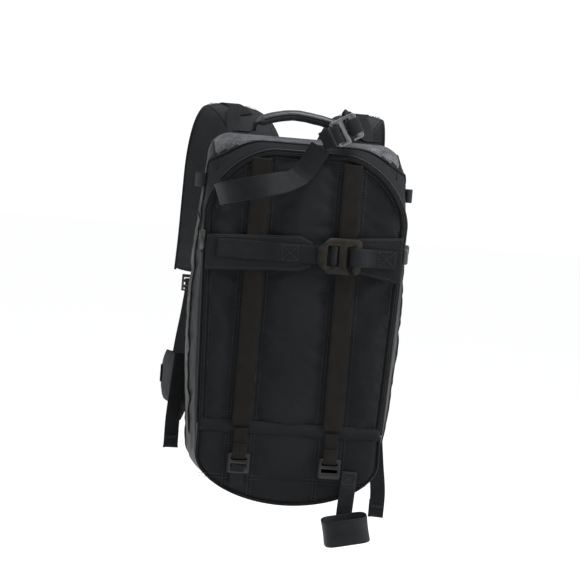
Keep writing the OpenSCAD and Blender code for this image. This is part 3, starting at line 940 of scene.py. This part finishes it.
def door_webbing():
    """The two long webbings down the door, tacked at intervals."""
    tacks = (-142, 62, 131, 221)
    for sign, name in ((1, "right"), (-1, "left")):
        line = []
        for k in range(74):
            z = mix(-142.5, 222, k / 73)
            gap = min(abs(z - tack) for tack in tacks)
            line.append(point(WEB_SHIFT + sign * WEB_X, Y_FACE - 1.2 - 0.9 * smooth_step(gap / 22), z))
        webbing("long_webbing_" + name, "door", line, (1, 0, 0), 26, material=BROWN, slot="brown_webbing",
                replaces="vertical_webbing")


def left_wing_edges(x):
    top = mix(114, 121, (x + 134) / 127) if x < -7 else mix(121, 113, (x + 7) / 17)
    low = mix(66, 73, (x + 134) / 130) if x < -4 else mix(73, 79, (x + 4) / 14)
    return low, top


def right_wing_edges(x):
    return mix(76, 64, (x - 72) / 62), mix(123, 128, (x - 72) / 62)


def wing(name, edges, x_from, x_to, pull):
    """A flap of the hug strap, drawn into folds towards its buckle end."""
    grid = []
    cols = 15
    for i in range(49):
        x = mix(x_from, x_to, i / 48)
        low, top = edges(x)
        draw = 1 - abs(x - pull) / abs(x_to - x_from)
        column = []
        for j in range(cols + 1):
            t = j / cols
            z = mix(low, top, t)
            fold = 0.9 * grain(x * 0.35, 0, z, 9, 4.4) * draw + 0.6 * grain(x * 0.8, 0, z, 24, 1.9)
            hem = 0.5 * (math.exp(-((t - 0.09) / 0.05) ** 2) + math.exp(-((t - 0.91) / 0.05) ** 2))
            column.append(point(x, Y_WEB - 1.5 - 0.7 * math.sin(math.pi * t) - fold * 0.8 + hem, z))
        grid.append(column)
    cloth_panel(name, "door", grid, 2.0, WING, slot="wing_fabric", replaces=name)
    for j, shift in ((0, 3.4), (cols, -3.4)):
        DOOR_STITCHES.append(([column[j] + point(0, -1.05, shift) for column in grid], (0, -1, 0)))


def hug_strap():
    """The webbing folded round the hook's thin bar, and the loop that the hook goes into."""
    y = Y_WING - 1.3
    bar = [(-120, y), (-60, y), (-4, y), (30, y), (40.5, y - 0.2), (42.8, y - 2.2), (43, y - 5.4), (42.2, y - 8),
           (39.5, y - 8.7), (36.8, y - 8), (36, y - 5.2), (34.8, y - 2.6), (33, y - 1.95), (31, y - 1.9)]
    webbing("hug_webbing", "door", curve([(x, d, 97) for x, d in bar], 10), (0, 0, 1), 25, step=1.4,
            replaces="hug_webbing")
    loop = [(126, y - 1.9), (112, y - 1.9), (98, y - 1.9), (89, y - 4.6), (82, y - 9.2), (75, y - 11.9),
            (67, y - 11.9), (62.9, y - 8.4), (62.5, y - 3.4), (66, y), (86, y), (122, y)]
    webbing("hug_loop", "door", curve([(x, d, 97) for x, d in loop], 10), (0, 0, 1), 25, step=1.4,
            replaces="hug_loop")
    for x_from, x_to, lift in ((-31, -9, 1.0), (101, 123, 2.9)):
        box_stitch(DOOR_STITCHES, point(x_from, y - lift, 87), point(x_to - x_from, 0, 0), point(0, 0, 20),
                   (0, -1, 0))


def box_stitch(runs, corner, a, b, normal):
    """A square of stitches with a cross in it."""
    p = [corner, corner + a, corner + a + b, corner + b]
    for k in range(4):
        runs.append(([p[k], p[(k + 1) % 4]], normal))
    runs.append(([p[0], p[2]], normal))
    runs.append(([p[1], p[3]], normal))


# ---------------------------------------------------------------- ski straps and hook
HOOK_AT = point(46, -199, 270)
HOOK_X = point(math.cos(math.radians(30)), 0, 0.5)
HOOK_Z = point(-0.5, 0, math.cos(math.radians(30)))


def by_hook(x, y, z=0.0):
    return HOOK_AT + HOOK_X * x + point(0, y, 0) + HOOK_Z * z


def ski_strap():
    path = curve([(-118, Y_FACE - 2.4, 165), (-124, -213, 167), (-126, -250, 169), (-118, -284, 172),
                  (-100, -301, 177), (-74, -303, 184), (-53, -290, 189), (-38, -258, 193), (-27, -225, 196),
                  (-19, -203, 199), (-11, -197, 207), (-3, -196.5, 219), (5, -197.5, 233), (10, -199, 243)], 10)

    def across(share):
        t = smooth_step((share - 0.45) / 0.42)
        return (mix(-0.34, -0.85, t), 0, mix(0.94, 0.52, t))

    webbing("ski_strap", "door", path, across, 29, step=2.2, cup=0.5, replaces="ski_strap")
    patch = [point(-118 - 0.35 * (z - 165), Y_FACE - 1.1, z) for z in range(146, 186, 3)]
    webbing("ski_strap_patch", "door", patch, (1, 0, 0.35), 12, material=WEBBING)
    box_stitch(DOOR_STITCHES, point(-124, Y_FACE - 2.2, 150), point(9, 0, 0), point(0, 0, 28), (0, -1, 0))
    loop = [by_hook(x, y) for x, y in ((-40, -0.6), (-34, -3.1), (-25, -4.2), (-17, -4.3), (-13.2, -2.6), (-12.6, 0),
                                       (-13.2, 2.6), (-17, 4.3), (-25, 4.2), (-34, 3.1), (-40, 0.6))]
    webbing("ski_keeper", "door", curve(loop, 8), HOOK_Z, 25, 1.9, step=1.2, replaces="ski_keeper")
    guard = [by_hook(-27 + 3.2 * math.cos(a) * 1.4, 5.6 * math.sin(a)) for a in
             [2 * math.pi * k / 24 for k in range(24)]]
    sweep("ski_keeper_sleeve", "door", guard, HOOK_Z, flat_section(27.5, 1.6), RUBBER, closed=True, slot="elastic")
    refined("ski_hook", "ski_hook", "door", ALUMINIUM, 0.7, 3)


def ski_catch():
    path = curve([(76, 42, 296), (70, 0, 296), (65, -50, 295.5), (60, -100, 294), (54, -140, 285),
                  (49.5, -176, 274), (46.6, -196, 269.8), (47, -202.4, 269.8), (53, -203.6, 273.6), (60, -200, 278),
                  (61, -186, 280.5), (58, -166, 284), (56, -150, 287)], 10)

    def across(share):
        a = math.radians(60 * min(1.0, 1.25 * share))
        return (math.cos(a), 0, -math.sin(a))

    webbing("ski_catch", "pack", path, across, 21, step=2.0, replaces="ski_catch")


def lower_loop():
    """The rubber-coated loop for the skis' tails, and the strip of webbing that carries it."""
    tilt = math.radians(12)
    axis_x = point(math.cos(tilt), 0, math.sin(tilt))
    axis_z = point(-math.sin(tilt), 0, math.cos(tilt))
    centre = point(83, Y_FACE - 30, -272)
    ring = []
    for k in range(72):
        a = 2 * math.pi * k / 72
        ring.append(centre + axis_x * 29.6 * spow(math.cos(a), 0.72) + point(0, 25.6 * spow(math.sin(a), 0.72), 0)
                    + axis_z * 0.5 * math.sin(3 * a))
    sweep("lower_ski_loop", "pack", ring, axis_z, flat_section(35, 2.4, cup=0.7), RUBBER, closed=True,
          slot="elastic", replaces="lower_ski_loop")
    strip = curve([(86, Y_FACE - 1.2, -197), (85, Y_FACE - 1.6, -225), (83.5, Y_FACE - 2.0, -252),
                   (83, Y_FACE - 2.2, -276), (83, Y_FACE - 2.2, -288)], 8)
    webbing("lower_loop_strip", "pack", strip, (1, 0, 0), 22, 2.2, material=RUBBER, slot="elastic")
    box_stitch(PACK_STITCHES, point(76.5, Y_FACE - 2.5, -214), point(18, 0, 0), point(0, 0, 15), (0, -1, 0))


PACK_STITCHES = []


# ---------------------------------------------------------------- lower panel
PANEL_HALF = FOOT_HALF - 1
SEAM_Z = -214


def foot_low(x):
    """Height of the bag's round foot below x."""
    return Z_LOW + FOOT_RISE - (FOOT_RISE - 1) * max(0.0, 1 - (abs(x) / PANEL_HALF) ** 1.95) ** (1 / 1.95)


def lower_panel():
    """The padded panel below the door: panels between seams, with a bound round foot."""
    seams = (-PANEL_HALF, -85, -50, 0, 40, 75, PANEL_HALF)
    counts = (9, 7, 14, 14, 7, 9)
    columns = []
    for zone, count in enumerate(counts):
        for k in range(count + (1 if zone == 5 else 0)):
            share = k / count
            spread = 1 - (1 - share) ** 1.6 if zone == 5 else share ** 1.6 if zone == 0 else share
            x = mix(seams[zone], seams[zone + 1], spread)
            middle = (share + 1) / 2 if zone == 3 else share / 2 if zone == 2 else share
            columns.append((lambda z, x=x: x, middle, zone))
    verts, _, _, _ = quilt(columns, foot_low, lambda x: Z_FOOT - 1.0, 30, PAD_Y, (2.6, 2.0, 3.6, 3.6, 2.0, 2.6))
    for k, v in enumerate(verts):
        fade = math.exp(-((v.z - SEAM_Z) / 3.2) ** 2)
        edge = min(1.0, max(0.0, (v.z - foot_low(v.x)) / 9), max(0.0, (PANEL_HALF - abs(v.x)) / 9))
        crease = 0.9 * grain(v.x, 0, v.z, 13, 2.7) + 0.4 * grain(v.x, 0, v.z, 5, 5.7)
        lift = (PAD_Y - v.y) * (1 - 0.8 * fade)
        verts[k] = point(v.x, PAD_Y - 1.2 - lift - crease * 0.6 + 3.6 * (1 - smooth_step(edge)), v.z)
    rows = 31
    front = [verts[c * rows:(c + 1) * rows] for c in range(len(columns))]
    back = [[point(p.x, Y_RIM - 0.5, p.z) for p in row] for row in front]
    verts, faces, uvs, _ = boxed(front, back)
    made = piece("lower_panel", "pack", verts, faces, FRONT, uvs, slot="front_fabric", replaces="lower_front_panel")
    subdivide(made)
    foot = [point(x, Y_FACE + 4.6, foot_low(x) + 0.6) for x in
            [(PANEL_HALF - 0.5) * math.sin(math.radians(a)) for a in range(-90, 91, 2)]]
    side = [point(PANEL_HALF - 0.6, Y_FACE + 4.6, z) for z in (-181, -170, -158, -147)]
    line = [point(-p.x, p.y, p.z) for p in reversed(side)] + foot + side
    cord_line("foot_piping", "pack", line, 1.9, EDGE, "front_fabric")
    for x in (-85, -50, 40, 75):
        path = [point(x, PAD_Y - 1.3, z) for z in range(int(foot_low(x)) + 4, -147, 4)]
        for shift in (-2.4, 2.4):
            PACK_STITCHES.append(([p + point(shift, -0.8, 0) for p in path], (0, -1, 0)))
    for shift in (-2.4, 2.4):
        PACK_STITCHES.append(([point(x, PAD_Y - 2.2, SEAM_Z + shift) for x in range(-121, 122, 5)], (0, -1, 0)))


def lower_buckles():
    for sign, name in ((1, "right"), (-1, "left")):
        refined("lower_buckle_" + name, "lower_buckle_" + name, "lower_buckle_" + name, PLASTIC, 0.6)
        y = Y_FACE
        x = WEB_SHIFT + sign * WEB_X
        path = [(x, y - 1.3, -146.5), (x, y - 1.6, -158), (x, y - 1.8, -176), (x, y - 2.4, -184), (x, y - 4.6, -188),
                (x, y - 7.6, -184), (x, y - 5.2, -177), (x, y - 3.3, -168)]
        webbing("lower_strap_" + name, "pack", curve(path, 8), (1, 0, 0), 19, 1.5, step=1.2, material=BROWN,
                slot="brown_webbing", replaces="lower_straps")
        if sign < 0:
            tail = [(x, y - 4.6, -195), (x - 1, y - 6.2, -203), (x - 1, y - 4.2, -211), (x - 0.5, y - 2.6, -219),
                    (x, y - 3.0, -227)]
            webbing("lower_tail_" + name, "pack", curve(tail, 8), (1, 0, 0), 19, 1.5, step=1.6)


# ---------------------------------------------------------------- harness
SHOULDER = [(50, -9, 211), (58, 3, 240), (74, 26, 272), (90, 62, 290), (102, 102, 293), (112, 146, 270),
            (118, 180, 225), (121, 196, 160), (124, 194, 92), (127, 182, 42)]


def flip(path, sign):
    return [point(sign * p.x, p.y, p.z) for p in path]


def flip_across(across, sign):
    return lambda share: (sign * across(share)[0], across(share)[1], across(share)[2])


def shoulder_across(share):
    return (1, 0.06 - 0.3 * share, 0)


def padded_section(half, thick, bead, count=12):
    """A strap filled with foam: crowned faces that meet at a bound edge."""
    top = []
    for k in range(count + 1):
        s = -1 + 2 * k / count
        s = math.sin(s * math.pi / 2)
        top.append((s * half, bead + (thick / 2 - bead) * (1 - abs(s) ** 3.0)))
    return [(s, h) for s, h in top] + [(-s, -h) for s, h in top]


def shoulder_straps():
    for sign, name in ((1, "right"), (-1, "left")):
        path = even(flip(curve(SHOULDER, 10), sign), 5.5)
        across = flip_across(shoulder_across, sign)
        half = lambda t: mix(33, 30, smooth_step((t - 0.55) / 0.4))
        made = sweep("shoulder_strap_" + name, None, path, across, lambda t: padded_section(half(t), 10.4, 1.6), HARNESS)
        per_ring = 26
        held = [i for i in range(len(made.data.vertices)) if i % per_ring in (0, 12, 13, 25)]
        held += list(range(per_ring)) + list(range(len(made.data.vertices) - per_ring, len(made.data.vertices)))
        puff(made, held, pressure=3.0, frames_run=12, cap=2.2)
        subdivide(made)
        finish_pad(made, "pack", "shoulder_strap_" + name)
        fs = frames(path, across)
        for side, end in ((-1, "inner"), (1, "outer")):
            line = [p + f[1] * side * half(k / (len(path) - 1)) for k, (p, f) in enumerate(zip(path, fs))]
            cord_line("strap_binding_%s_%s" % (name, end), "pack", line, 2.0, EDGE, "harness_fabric")
            stitch_line = [p + f[1] * side * (half(k / (len(path) - 1)) - 5) - f[2] * 4.9 * sign
                           for k, (p, f) in enumerate(zip(path, fs))]
            PACK_STITCHES.append((stitch_line[2:-2], strap_normal(path, fs, -sign)))
        shift = [p - f[2] * 7.3 * sign for p, f in zip(path, fs)]
        run = len(path)
        webbing("shoulder_webbing_" + name, "pack", shift[int(run * 0.2):int(run * 0.98)], across, 25,
                replaces="shoulder_webbing_" + name)
        k = int(run * 0.33)
        for step in (k, k + 1):
            a = fs[step][1] * 29
            PACK_STITCHES.append(([path[step] - a - fs[step][2] * 5.4 * sign, path[step] - a * 0.45
                                   - fs[step][2] * 6.2 * sign], strap_normal(path, fs, -sign)))
            PACK_STITCHES.append(([path[step] + a - fs[step][2] * 5.4 * sign, path[step] + a * 0.45
                                   - fs[step][2] * 6.2 * sign], strap_normal(path, fs, -sign)))


def strap_normal(path, fs, sign):
    def normal(p):
        k = min(range(len(path)), key=lambda i: (path[i] - p).length_squared)
        return fs[k][2] * sign
    return normal


def harness_webbing():
    for sign, name in ((1, "right"), (-1, "left")):
        lifter = curve([(97, -21, 247), (97, -15, 256), (97, -8, 264), (96, 14, 282), (94, 38, 294)], 8)
        webbing("load_lifter_" + name, "pack", flip(lifter, sign), (1, 0, 0), 20, replaces="load_lifter_" + name)
        lower = curve([(128, 172, 8), (132, 158, -22), (140, 118, -66), (147, 60, -106), (145, 5, -138),
                       (138, -24, -152)], 10)
        upper = curve([(127.5, 180, 33), (127.2, 176.5, 24), (127.6, 174, 15), (128, 171, 8)], 6)
        across = flip_across(lambda t: (1 - t, 0.4 * t, 0.75 * t), sign)
        webbing("lower_webbing_" + name, "pack", flip(upper[:-1] + lower, sign), across, 24, cup=0.3,
                replaces="lower_webbing_" + name)
        refined("ladder_lock_" + name, "ladder_lock_" + name, "ladder_lock_" + name, PLASTIC, 0.8)
    tail("left", curve([(-146, -16, -66), (-149, -13, -113), (-152, -11, -160), (-152, -12, -201)], 10), 0.3)
    tail("right", curve([(139, -23.5, -151), (141.5, -20, -158), (144.5, -16, -168), (150, -13, -207),
                         (156, -11, -249), (156, -12, -284)], 10), -0.3)


def tail(name, path, lean):
    """A hanging webbing end, folded over and sewn at its tip."""
    fold = [path[-1] + point(0, 0, -1.5), path[-1] + point(0, 1.6, -2.6), path[-1] + point(0, 3.0, -1.0),
            path[-1] + point(0, 2.2, 8), path[-1] + point(0, 2.0, 22)]
    line = [p + point(0, -0.9 + 0.5 * math.sin(p.z / 17), 0) for p in path] + fold
    webbing("webbing_tail_" + name, "pack", line, (1, lean, 0), 22, 1.7, step=1.6,
            replaces="webbing_tail_" + name)
    for path_ in bartack(path[-1] + point(0, -1.9, 14), (0, 0, 1), (1, lean, 0), 18, rows=4):
        PACK_STITCHES.append((path_, (0, -1, 0)))


BELT = [(105, -10), (128, 4), (147, 36), (158, 80), (161, 122), (154, 160), (136, 190)]
BELT_Z = -110


def beside(path, shift):
    out = []
    for i, p in enumerate(path):
        t = tangent(path, i)
        out.append(p + point(t.y, -t.x, 0) * shift)
    return out


def hip_belt():
    for sign, name in ((1, "right"), (-1, "left")):
        path = even(curve([(x, y, BELT_Z) for x, y in BELT], 10), 5.0)
        half = lambda t: mix(35, 27, smooth_step((t - 0.6) / 0.4))
        line = flip(path, sign)
        made = sweep("hip_belt_" + name, None, line, (0, 0, 1), lambda t: padded_section(half(t), 10.4, 1.6), HARNESS)
        held = [i for i in range(len(made.data.vertices)) if i % 26 in (0, 6, 12, 13, 19, 25)]
        held += list(range(26)) + list(range(len(made.data.vertices) - 26, len(made.data.vertices)))
        puff(made, held, pressure=3.0, frames_run=12, cap=2.2)
        subdivide(made)
        finish_pad(made, "pack", "hip_belt_" + name)
        for side, end in ((-1, "low"), (1, "high")):
            rim = [p + point(0, 0, side * half(k / (len(line) - 1))) for k, p in enumerate(line)]
            cord_line("belt_binding_%s_%s" % (name, end), "pack", rim, 1.9, EDGE, "harness_fabric")
        outside = beside(path, 7.4)
        start = int(len(path) * 0.62)
        strap = outside[start:] + [point(122, 212, BELT_Z), point(100, 227, BELT_Z), point(70, 235.2, BELT_Z),
                                   point(60, 236, BELT_Z), point(29, 236, BELT_Z)]
        webbing("hip_webbing_" + name, "pack", flip(curve(strap, 4), sign), (0, 0, 1), 25, step=2.0,
                replaces="hip_webbing_" + name)
    refined("hip_buckle_socket", "hip_buckle_socket", "pack", PLASTIC, 1.2, 3)
    refined("hip_buckle_plug", "hip_buckle_plug", "hip_plug", PLASTIC, 0.9, 3)


def sternum_strap():
    for sign, name in ((1, "right"), (-1, "left")):
        y = 214
        line = curve([(18, y, 140), (44, y, 140), (70, y, 140), (88, y - 2.6, 140), (112, y - 2.7, 140),
                      (135, y - 2.8, 140)], 8)
        webbing("sternum_webbing_" + name, "sternum_strap", flip(line, sign), (0, 0, 1), 18, 1.6, step=1.8,
                replaces="sternum_webbing_" + name)
    refined("sternum_buckle_socket", "sternum_buckle_socket", "sternum_strap", PLASTIC, 0.9, 3)
    refined("sternum_buckle_plug", "sternum_buckle_plug", "sternum_plug", PLASTIC, 0.7, 3)


# ---------------------------------------------------------------- back panel
def back_pad(name, half, low, high, channels, node):
    """A foam pad under spacer mesh, blown up between its pinned rim and its sewn channels."""
    round_corner = 16.0
    cols, rows = 40, max(16, round((high - low) / 4.6))
    held = []

    def width(z):
        reach = max(0.0, round_corner - (z - low), round_corner - (high - z))
        return half - round_corner + math.sqrt(max(0.0, round_corner ** 2 - reach ** 2))

    base, crown = -6.0, -1.6
    front = []
    for i in range(cols + 1):
        even_share = 2 * i / cols - 1
        share = mix(even_share, math.sin(math.pi / 2 * even_share), 0.35)
        row = []
        for j in range(rows + 1):
            z = mix(low, high, mix(j / rows, 0.5 - 0.5 * math.cos(math.pi * j / rows), 0.5))
            x = share * width(z)
            rim = min(width(z) - abs(x), z - low, high - z)
            on_channel = min([abs(x - c) for c in channels]) < 2.7 and rim > 8
            rise = smooth_step(rim / 14) * (0.35 if on_channel else 1.0)
            if rim < 0.5 or on_channel:
                held.append(i * (rows + 1) + j)
            row.append(point(x, mix(base, crown, rise), z))
        front.append(row)
    back = [[point(p.x, -17.8, p.z) for p in row] for row in front]
    verts, faces, uvs, rim_loop = boxed(front, back)
    held += list(range(len(verts) // 2, len(verts)))
    made = piece(name, None, verts, faces, MESH, uvs)
    puff(made, held, pressure=3.0, frames_run=14, cap=3.5)
    subdivide(made)
    for v in made.data.vertices:
        v.co.y = min(v.co.y, 0.0004)
    finish_pad(made, "pack", node)
    line = [point(verts[k].x, base - 0.4, verts[k].z) for k in rim_loop]
    cord_line(name + "_binding", "pack", line, 1.8, EDGE, "back_mesh", closed=True)
    return made


def back_panel():
    back_pad("upper_back_pad", 95, 90, 200, (-44, 0, 44), "upper_back_pad")
    back_pad("middle_back_pad", 95, -65, 80, (-44, 44), "middle_back_pad")
    back_pad("lower_back_pad", 100, -175, -75, (-48, 0, 48), "lower_back_pad")
    refined("back_plate", "back_plate", "pack", PLATE, 1.6, 3)
    refined("frame_sheet", "frame_sheet", "pack", SHEET, 0.7)
    refined("frame_stays", "frame_stays", "pack", STAY, 0.7)
    refined("tool_sleeve", "tool_sleeve", "pack", LINING, 0.5)
    refined("hydration_hanger", "hydration_hanger", "pack", WEBBING, 0.5)
    loop = []
    for k in range(48):
        a = 2 * math.pi * k / 48
        loop.append(point(0, -11.5 + 4.4 * spow(math.cos(a), 0.6), 221 + 13.6 * spow(math.sin(a), 0.6)))
    sweep("hang_loop", "pack", loop, (1, 0, 0), flat_section(21, 1.9), WEBBING, closed=True, slot="webbing",
          replaces="hang_loop")


# ---------------------------------------------------------------- top
def haul_handle():
    path = curve([(-71, -100, 271.5), (-58, -100, 277), (-42, -100, 282), (-18, -100, 285.5), (14, -100, 282),
                  (40, -100, 276), (58, -100, 272.5), (71, -100, 269.8)], 10)

    def profile(share):
        ends = smooth_step(min(share, 1 - share) / 0.06)
        half, high = mix(9.5, 13, ends), mix(3.4, 7.6, ends)
        ring = []
        for k in range(20):
            a = 2 * math.pi * k / 20
            ring.append((half * spow(math.cos(a), 0.8), high * spow(math.sin(a), 0.85)))
        return ring

    line = even(path, 2.5)
    made = sweep("haul_handle", "haul_handle", line, (0, 1, 0), profile, HANDLE, slot="handle_cover",
                 replaces="haul_handle")
    for v in made.data.vertices:
        x, y, z = v.co / MM
        v.co.z += 0.5 * MM * grain(x, y, z, 12, 3.9)
    fs = frames(line, (0, 1, 0))
    runs = []
    for side in (-1, 1):
        seam = [p + f[1] * side * 12.6 for p, f in zip(line[4:-4], fs[4:-4])]
        cord_line("handle_seam_" + ("front" if side < 0 else "back"), "haul_handle", seam, 1.0, EDGE, "handle_cover")
    for sign, name in ((1, "right"), (-1, "left")):
        tab = curve([(104, -100, 257.4), (92, -100, 257.4), (81, -100, 257.8), (76, -100, 261), (75, -100, 266),
                     (75, -100, 271.5)], 6)
        webbing("handle_anchor_" + name, "pack", flip(tab, sign), (0, 1, 0), 26, 1.8, step=1.6,
                replaces="handle_anchors")
        high = 269.8 if sign > 0 else 271.5
        foot = curve([(73.2, -100, 260), (73, -100, 265), (70.5, -100, high - 0.6), (64, -100, high + 1.2)], 6)
        made = webbing("handle_foot_" + name, None, flip(foot, sign), (0, 1, 0), 22, 2.6, step=1.2)
        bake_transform(made)
        box_stitch(PACK_STITCHES, point(sign * 83, -111, 258.4), point(sign * 18, 0, 0), point(0, 22, 0), (0, 0, 1))


def side_tabs():
    for sign, name in ((1, "right"), (-1, "left")):
        line = curve([(139, -158, 186), (144, -156, 186), (148.8, -142, 186), (150.6, -124, 186), (150.4, -108, 186),
                      (147, -101, 186), (143.4, -104, 186), (142.2, -116, 186), (141.6, -132, 186)], 8)
        webbing("side_tab_" + name, "pack", flip(line, sign), (0, 0, 1), 19, 1.6, step=1.6, replaces="side_tabs")


def sliders():
    for name in ("left", "right"):
        refined("zip_slider_" + name, "zip_slider_" + name, "zip_" + name, NICKEL, 0.45)
    refined("hug_hook", "hug_hook", "hug_hook", BRONZE, 0.9, 3)


# ---------------------------------------------------------------- build
bag_shell()
bag_seams()
zip_track()
door_face()
door_edge()
door_inside()
hinge_strip()
door_webbing()
wing("left_wing", left_wing_edges, -134, 10, 10)
wing("right_wing", right_wing_edges, 72, 134, 72)
hug_strap()
ski_strap()
ski_catch()
lower_loop()
lower_panel()
lower_buckles()
shoulder_straps()
harness_webbing()
hip_belt()
sternum_strap()
back_panel()
haul_handle()
side_tabs()
sliders()
stitches("door_stitches", "door", DOOR_STITCHES)
stitches("pack_stitches", "pack", PACK_STITCHES)


# ---------------------------------------------------------------- camera, light and floor
def camera():
    lens = bpy.data.cameras.new("camera")
    lens.lens = 123.2
    made = bpy.data.objects.new("camera", lens)
    bpy.context.scene.collection.objects.link(made)
    azimuth, elevation, roll, distance = math.radians(-6), math.radians(3), math.radians(4.6), 2.7
    target = Vector((-0.0154, -0.1915, 0.046))
    direction = Vector((math.sin(azimuth) * math.cos(elevation), -math.cos(azimuth) * math.cos(elevation),
                        math.sin(elevation)))
    turn = (-direction).to_track_quat("-Z", "Y") @ Quaternion((0, 0, 1), roll)
    made.matrix_world = Matrix.LocRotScale(target + direction * distance, turn, None)
    bpy.context.scene.camera = made


def soft_box(name, place, target, size, power, color=(1, 1, 1)):
    light = bpy.data.lights.new(name, "AREA")
    light.shape = "RECTANGLE"
    light.size, light.size_y = size
    light.energy = power
    light.color = color
    made = bpy.data.objects.new(name, light)
    bpy.context.scene.collection.objects.link(made)
    place = Vector(place)
    made.matrix_world = Matrix.LocRotScale(place, (Vector(target) - place).to_track_quat("-Z", "Y"), None)


def surroundings():
    bpy.context.scene.view_settings.view_transform = "Standard"
    world = bpy.data.worlds.new("world")
    bpy.context.scene.world = world
    world.use_nodes = True
    tree = world.node_tree
    seen = tree.nodes.new("ShaderNodeLightPath").outputs["Is Camera Ray"]
    strength = tree.nodes.new("ShaderNodeMapRange")
    strength.inputs[3].default_value = 0.3
    strength.inputs[4].default_value = 1.05
    tree.links.new(seen, strength.inputs[0])
    tree.links.new(strength.outputs[0], tree.nodes["Background"].inputs[1])
    tree.nodes["Background"].inputs[0].default_value = (0.98, 0.99, 1.0, 1)
    soft_box("overhead", (0.25, -0.55, 1.6), (0, -0.1, 0.1), (1.2, 0.9), 36)
    soft_box("left_rim", (-1.5, -0.1, 0.5), (0, -0.1, 0.05), (0.6, 1.5), 9)
    soft_box("right_rim", (1.4, -0.5, 0.6), (0, -0.1, 0.05), (0.6, 1.4), 26)
    s = Shader("floor")
    s.feed(s.bsdf.inputs["Emission Color"], grey(1.0))
    s.feed(s.bsdf.inputs["Emission Strength"], 0.75)
    s.set(color=grey(0.8), rough=0.9, specular=0.1)
    mesh = bpy.data.meshes.new("floor")
    mesh.from_pydata([(-30, -30, -0.62), (30, -30, -0.62), (30, 30, -0.62), (-30, 30, -0.62)], [], [(0, 1, 2, 3)])
    mesh.materials.append(s.material)
    floor = bpy.data.objects.new("floor", mesh)
    bpy.context.scene.collection.objects.link(floor)


camera()
surroundings()
